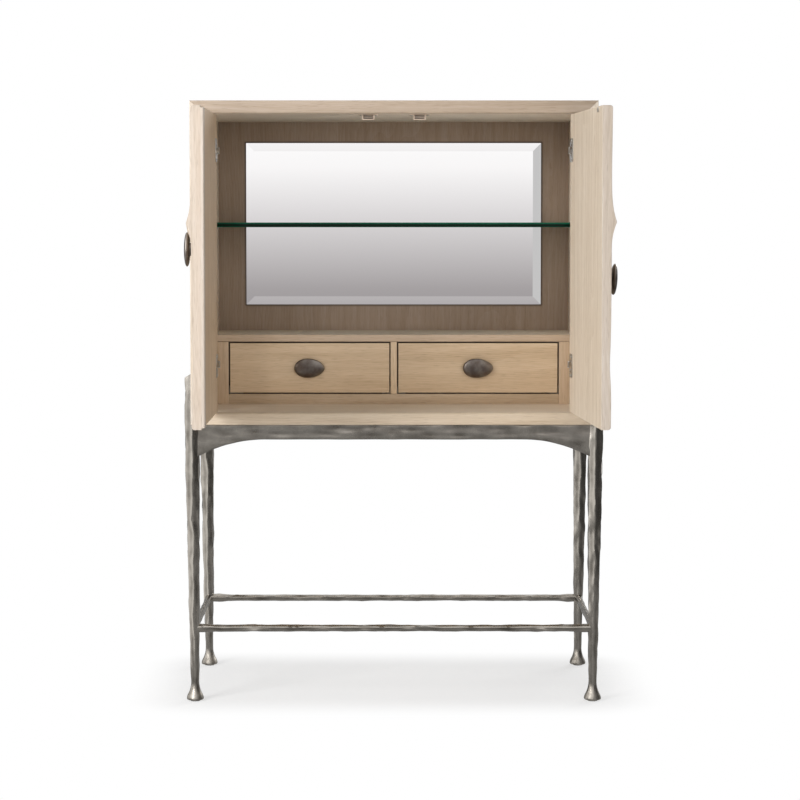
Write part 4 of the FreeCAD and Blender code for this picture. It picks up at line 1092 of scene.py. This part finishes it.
class CABINET_OT_mirror(bpy.types.Operator):
    """Bevelled mirror, silvered behind the glass, so that its bevel bends what it shows as a prism does"""
    bl_idname = "cabinet.mirror"
    bl_label = "Mirror"

    def execute(self, context):
        look = context.scene.cabinet_glass
        low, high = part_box("mirror")
        silver = silvered_glass(look, "silvered_plate_glass")
        edge = glass_edge(look, "mirror_edge", low.z, high.z)
        bevel, sunk = 22.0 * MM, 2.4 * MM
        rings = []
        for inset, y in ((bevel, low.y), (0, low.y + sunk), (0, high.y)):
            left, right, bottom, top = low.x + inset, high.x - inset, low.z + inset, high.z - inset
            rings += [(left, y, bottom), (right, y, bottom), (right, y, top), (left, y, top)]
        faces = [(0, 1, 2, 3)]
        for outer in (4, 8):
            for side in range(4):
                a, b = side + outer, (side + 1) % 4 + outer
                faces.append((a, b, b - 4, a - 4))
        piece = bare_piece("mirror_plate", rings, faces + [(11, 10, 9, 8)], silver, edge)
        inward = (Z, -X, -Z, X)
        bevels = len(inward)
        normals = []
        for number, face in enumerate(piece.data.polygons):
            face.material_index = 0 if number <= bevels else 1
            for corner in face.vertices:
                way = face.normal.copy()
                if number <= bevels:
                    way = -Y
                    if number:
                        way += inward[number - 1] * math.tan(math.radians(look.bends[number - 1]))
                    if corner % 4 in (0, 3):
                        way.x += math.tan(math.radians(look.bow))
                normals.append(tuple(way.normalized()))
        piece.data.normals_split_custom_set(normals)
        carry(piece, "case", "mirror_glass", "mirror")
        return {"FINISHED"}


class CABINET_OT_shelf(bpy.types.Operator):
    """Glass shelf with polished green edges, and its pins"""
    bl_idname = "cabinet.shelf"
    bl_label = "Glass shelf"

    def execute(self, context):
        look = context.scene.cabinet_glass
        low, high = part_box("glass_shelf")
        clear = clear_glass(look, "polished_float_glass")
        edge = glass_edge(look, "float_glass_edge", low.z, high.z)
        piece = bare_piece("glass_shelf_plate", [], [], clear, edge)
        with opened(piece.data) as form:
            add_block(form, low, high)
            bmesh.ops.bevel(form, geom=form.edges[:], offset=look.edge_round, segments=3, profile=0.5,
                            affect="EDGES")
            for face in form.faces:
                face.material_index = 0 if abs(face.normal.z) > 0.99 else 1
        # The wide faces stay flat up to their edges, so that the glass doesn't bend what is seen through it
        smooth(piece.data, 10)
        carry(piece, "glass_shelf", "clear_glass", "glass_shelf")
        pins = plated_steel(context.scene.cabinet_fittings.zinc, "zinc_plated_pins", 0.3)
        dressed("shelf_pins", "case", "zinc_steel", pins, 0.3 * MM)
        return {"FINISHED"}


class CABINET_OT_hinges(bpy.types.Operator):
    """Nickel-plated cup hinges"""
    bl_idname = "cabinet.hinges"
    bl_label = "Hinges"

    def execute(self, context):
        nickel = plated_steel(context.scene.cabinet_fittings.nickel, "nickel_plated_steel", 0.28)
        for node, body in (("left_hinge_arms", "case"), ("right_hinge_arms", "case"),
                           ("hinge_plates", "case"), ("left_hinge_links", "left_links"),
                           ("right_hinge_links", "right_links"), ("left_hinge_cups", "left_door"),
                           ("right_hinge_cups", "right_door")):
            dressed(node, body, "nickel_steel", nickel, 0.25 * MM)
        return {"FINISHED"}


def screw_head():
    """A domed head of radius 1 with a cross recess, standing on the plane Z = 0."""
    rings = [[(radius * c, radius * s, height) for c, s in circle(28)] for radius, height in (
        (1.0, 0.0), (1.0, 0.12), (0.94, 0.24), (0.8, 0.36), (0.6, 0.45), (0.4, 0.49))]
    head = new_piece("screw_head", *loft(rings), bpy.data.materials.new("bare"), 30)
    for turn in (0, math.pi / 2):
        slot = bare_piece("slot", [], [])
        with opened(slot.data) as form:
            size = Matrix.Translation((0, 0, 0.42)) @ Matrix.Diagonal((0.95, 0.2, 0.5, 1))
            bmesh.ops.create_cube(form, size=1, matrix=Matrix.Rotation(turn, 4, "Z") @ size)
        cut_out(head, slot)
    return head


def solids_of(node):
    """The bounding corners of each separate solid of a plain node, in order of their places."""
    form = bmesh.new()
    form.from_mesh(frame["nodes"][node].data)
    bmesh.ops.remove_doubles(form, verts=form.verts, dist=0.02 * MM)
    left, boxes = set(form.verts), []
    while left:
        group, edge = set(), [left.pop()]
        while edge:
            vert = edge.pop()
            group.add(vert)
            for link in vert.link_edges:
                other = link.other_vert(vert)
                if other in left:
                    left.discard(other)
                    edge.append(other)
        points = np.array([list(v.co) for v in group])
        boxes.append((tuple(points.min(0)), tuple(points.max(0))))
    form.free()
    return [(Vector(low), Vector(high)) for low, high in sorted(boxes)]


class CABINET_OT_screws(bpy.types.Operator):
    """Cross-headed screws of the hinges, the catches and the stand"""
    bl_idname = "cabinet.screws"
    bl_label = "Screws"

    def execute(self, context):
        zinc = plated_steel(context.scene.cabinet_fittings.zinc, "zinc_plated_screws", 0.32)
        tree, head = screw_tree(), screw_head()
        swing = math.radians(DOOR_TURNS["right"] - 90)
        right_way = Vector((-math.cos(swing), -math.sin(swing), 0))
        # The head's radius and height in millimetres; the plates' screws face into the case
        for node, body, facing, radius, height in (
                ("base_screws", "case", -Z, 5.0, 3.0), ("catch_screws", "case", -Z, 3.2, 1.4),
                ("hinge_plate_screws", "case", None, 3.8, 1.5), ("left_cup_screws", "left_door", X, 3.6, 1.2),
                ("right_cup_screws", "right_door", right_way, 3.6, 1.2)):
            points, ways = [], []
            for low, high in solids_of(node):
                middle = (low + high) / 2
                way = facing or (-X if middle.x > 0 else X)
                outer = (high - low).dot(Vector([abs(c) for c in way])) / 2
                points.append(middle + way * (outer - height * MM))
                ways.append(way)
            piece = bare_piece(node + "_heads", points, [])
            note(piece, "facing", np.array([list(way) for way in ways]).ravel(), "FLOAT_VECTOR")
            run_tree(piece, tree, {"Head": head, "Head radius": radius * MM, "Finish": zinc})
            tidy(piece, 30)
            carry(piece, body, "zinc_steel", node)
        bpy.data.objects.remove(head)
        return {"FINISHED"}


class CABINET_OT_catches(bpy.types.Operator):
    """Magnetic catches with their steel tongues, and the strikes on the doors"""
    bl_idname = "cabinet.catches"
    bl_label = "Catches"

    def execute(self, context):
        look = context.scene.cabinet_fittings
        beige = moulded_plastic(look, "moulded_abs")
        dark = plated_steel(look.magnet, "oiled_magnet_steel", 0.4)
        half, wall, ear, half_plate, thin = 15.0 * MM, 2.0 * MM, 14.0 * MM, 11.5 * MM, 1.8
        for number, (low, high) in enumerate(solids_of("magnetic_catches")):
            middle = (low.x + high.x) / 2
            left, right, floor = middle - half, middle + half, low.z + wall
            front, back, top = low.y, high.y, high.z
            # A floor, two walls, the block that holds the plates, and an ear on each side
            shell = (((left, front, low.z), (right, back, floor)),
                     ((left, front, floor), (left + wall, back, top)),
                     ((right - wall, front, floor), (right, back, top)),
                     ((left + wall, front + 3 * wall, floor), (right - wall, back, top)),
                     ((low.x, back - ear, top - wall), (left, back, top)),
                     ((right, back - ear, top - wall), (high.x, back, top)))
            body = boxes_piece("catch_%d_body" % number, shell, beige, 0.35 * MM)
            carry(body, "case", "brown_plastic")
            plates = [((middle - half_plate, front + 0.4 * MM, low.z + level * MM),
                       (middle + half_plate, back - 2 * wall, low.z + (level + thin) * MM))
                      for level in (3.6, 8.6)]
            carry(boxes_piece("catch_%d_plates" % number, plates, dark, 0.2 * MM), "case", "zinc_steel")
            if number == 0:
                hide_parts("magnetic_catches")
        zinc = plated_steel(look.zinc, "zinc_plated_strikes", 0.34)
        for door in ("left_door", "right_door"):
            dressed(door + "_strike", door, "zinc_steel", zinc, 0.2 * MM)
        return {"FINISHED"}


class CABINET_OT_glides(bpy.types.Operator):
    """Felt glides under the feet"""
    bl_idname = "cabinet.glides"
    bl_label = "Foot glides"

    def execute(self, context):
        felt = pressed_felt(context.scene.cabinet_fittings, "pressed_wool_felt")
        dressed("foot_glides", "case", "grey_felt", felt, 0.4 * MM)
        return {"FINISHED"}


# The studio

def seen_directly(tree):
    """1 for the rays that show what they hit: the camera's, and those of gloss and clear glass."""
    path = add(tree, "LightPath").outputs
    shown = add(tree, "Math", path["Is Camera Ray"], path["Is Glossy Ray"], operation="MAXIMUM")
    return add(tree, "Math", shown, path["Is Transmission Ray"], operation="MAXIMUM")


def floor_material():
    """Pale floor. The camera sees it white but for the shadow under the object, which starts to fade a
    little inside the outline and is gone past the margin."""
    material, tree, place = new_material("pale_floor")
    beside, behind, margin = 50 * MM, 60 * MM, 220 * MM
    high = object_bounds()[1]
    middle = Vector((0, (middle_of("left_front_leg").y + middle_of("left_back_leg").y) / 2, 0))
    away = distance_past(tree, place, middle, (high.x - beside, high.y - middle.y - behind, 0))
    far = add(tree, "MapRange", away, 0.0, margin, 0.55, 1.0, interpolation_type="SMOOTHSTEP")
    seen = add(tree, "Math", seen_directly(tree), far, operation="MULTIPLY")
    matt = add(tree, "BsdfDiffuse", colour("#fafafa"))
    white = add(tree, "Emission", (1, 1, 1, 1), 1.0)
    add(tree, "OutputMaterial", add(tree, "MixShader", seen, matt, white))
    return material


def card_material():
    """A white card lit from above, as the mirror sees it: bright at the top, dim towards the floor."""
    material, tree, place = new_material("studio_card")
    height = add(tree, "MapRange", add(tree, "SeparateXYZ", place).outputs["Z"], 0.5, 1.9)
    ramp = add(tree, "ValToRGB", height)
    set_stops(ramp, (0.1, (0.34, 0.325, 0.33, 1)), (0.8, (1.0, 1.0, 1.0, 1)), (0.21, (0.39, 0.37, 0.375, 1)),
              (0.52, (0.735, 0.72, 0.725, 1)), (0.72, (0.975, 0.97, 0.97, 1)))
    add(tree, "OutputMaterial", add(tree, "Emission", ramp, 1.0))
    return material


def cloth_material(name, level):
    """Even cloth, as bright as the metal sees it."""
    material = bpy.data.materials.new(name)
    tree = cleared(material)
    add(tree, "OutputMaterial", add(tree, "Emission", (1, 1, 1, 1), level))
    return material


# Name, how bright it is, and two corners. The mirror's card is brighter towards its top.
BOARDS = (
    ("mirror_card", None, (-4, -6.5, 0), (4, -6.5, 3.2)),
    ("front_flag", 0.32, (-3, -4.6, 0), (3, -4.6, 0.55)),
    ("right_flag", 0.08, (1.9, -2.8, 0), (1.9, 1.2, 2.6)),
    ("left_flag", 0.08, (-1.9, 0.8, 0), (-1.9, 3.0, 2.6)),
    ("floor_cloth", 0.3, (-0.9, -4.5, 0.004), (2.4, 3.2, 0.004)),
    ("side_card", 0.57, (-4, -6.4, 0), (-1.0, -6.4, 3.2)),
    ("back_flag", 0.3, (-2.2, 3.2, 0), (2.2, 3.2, 1.6)),
)


def plane(name, low, high, material):
    """A flat board of the studio between two corners."""
    wide, deep = (axis for axis in range(3) if low[axis] != high[axis])
    corners = [list(low), list(low), list(high), list(low)]
    corners[1][wide], corners[3][deep] = high[wide], high[deep]
    piece = bare_piece(name, corners, [(0, 1, 2, 3)], material)
    piece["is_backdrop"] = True
    return piece


def softbox(name, place, aim, size, power):
    lamp = bpy.data.lights.new(name, "AREA")
    lamp.shape = "RECTANGLE"
    lamp.size, lamp.size_y = size
    lamp.energy = power
    light = bpy.data.objects.new(name, lamp)
    light.location = place
    light.rotation_euler = (Vector(aim) - Vector(place)).to_track_quat("-Z", "Y").to_euler()
    light.visible_camera = False
    bpy.context.collection.objects.link(light)
    return light


class CABINET_OT_studio(bpy.types.Operator):
    """Pale floor, soft studio light, a card for the mirror and the camera"""
    bl_idname = "cabinet.studio"
    bl_label = "Studio"

    def execute(self, context):
        scene = context.scene
        look = scene.cabinet_studio
        plane("floor", (-9, -9, 0), (9, 9, 0), floor_material())
        # Only gloss shows these boards
        for name, level, low, high in BOARDS:
            board = plane(name, low, high, cloth_material(name, level) if level else card_material())
            for ray in ("camera", "diffuse", "transmission", "volume_scatter", "shadow"):
                setattr(board, "visible_" + ray, False)
        aim = (0, 0, 1.0)
        softbox("key", (-2.7, -2.6, 2.2), aim, (1.4, 1.8), look.key)
        softbox("front", (0.2, -4.9, 1.7), aim, (4.4, 2.6), look.front).visible_glossy = False
        softbox("rear", (2.6, 3.4, 2.2), aim, (2.0, 1.6), look.rear)
        scene.world = bpy.data.worlds.new("studio")
        tree = cleared(scene.world)
        even = add(tree, "Background", (1, 1, 1, 1), look.sky)
        white = add(tree, "Background", (1, 1, 1, 1), 1.0)
        add(tree, "OutputWorld", add(tree, "MixShader", seen_directly(tree), even, white))
        lens = bpy.data.cameras.new("camera")
        lens.sensor_width = 36.0
        lens.lens = look.lens
        lens.shift_x, lens.shift_y = look.shift
        lens.clip_end = 60.0
        camera = bpy.data.objects.new("camera", lens)
        camera.location = (look.offset, CASE_FRONT - look.distance, look.height)
        camera.rotation_euler = (math.pi / 2 - look.drop, 0, 0)
        bpy.context.collection.objects.link(camera)
        scene.camera = camera
        scene.view_settings.view_transform = "Standard"
        return {"FINISHED"}


OPERATORS = (CABINET_OT_case, CABINET_OT_doors, CABINET_OT_stand, CABINET_OT_knobs, CABINET_OT_mirror,
             CABINET_OT_shelf, CABINET_OT_hinges, CABINET_OT_screws, CABINET_OT_catches, CABINET_OT_glides,
             CABINET_OT_studio)


class CABINET_PT_panel(bpy.types.Panel):
    """Lists the cabinet's pieces and what can be set"""
    bl_label = "Bar cabinet"
    bl_idname = "CABINET_PT_panel"
    bl_space_type = "VIEW_3D"
    bl_region_type = "UI"
    bl_category = "Cabinet"

    def draw(self, context):
        for operator in OPERATORS:
            self.layout.operator(operator.bl_idname)
        for name, look in LOOKS:
            box = self.layout.box()
            box.label(text=name.replace("cabinet_", "").capitalize())
            for label in look.__annotations__:
                box.prop(getattr(context.scene, name), label, text=label.replace("_", " ").capitalize())


def register():
    for name, look in LOOKS:
        bpy.utils.register_class(look)
        setattr(bpy.types.Scene, name, bpy.props.PointerProperty(type=look))
    for operator in OPERATORS:
        bpy.utils.register_class(operator)
    bpy.utils.register_class(CABINET_PT_panel)


def unregister():
    bpy.utils.unregister_class(CABINET_PT_panel)
    for operator in reversed(OPERATORS):
        bpy.utils.unregister_class(operator)
    for name, look in reversed(LOOKS):
        delattr(bpy.types.Scene, name)
        bpy.utils.unregister_class(look)


def main():
    register()
    bpy.ops.cabinet.case()
    bpy.ops.cabinet.doors()
    bpy.ops.cabinet.stand()
    bpy.ops.cabinet.knobs()
    bpy.ops.cabinet.mirror()
    bpy.ops.cabinet.shelf()
    bpy.ops.cabinet.hinges()
    bpy.ops.cabinet.screws()
    bpy.ops.cabinet.catches()
    bpy.ops.cabinet.glides()
    bpy.ops.cabinet.studio()


if __name__ == "__main__":
    main()
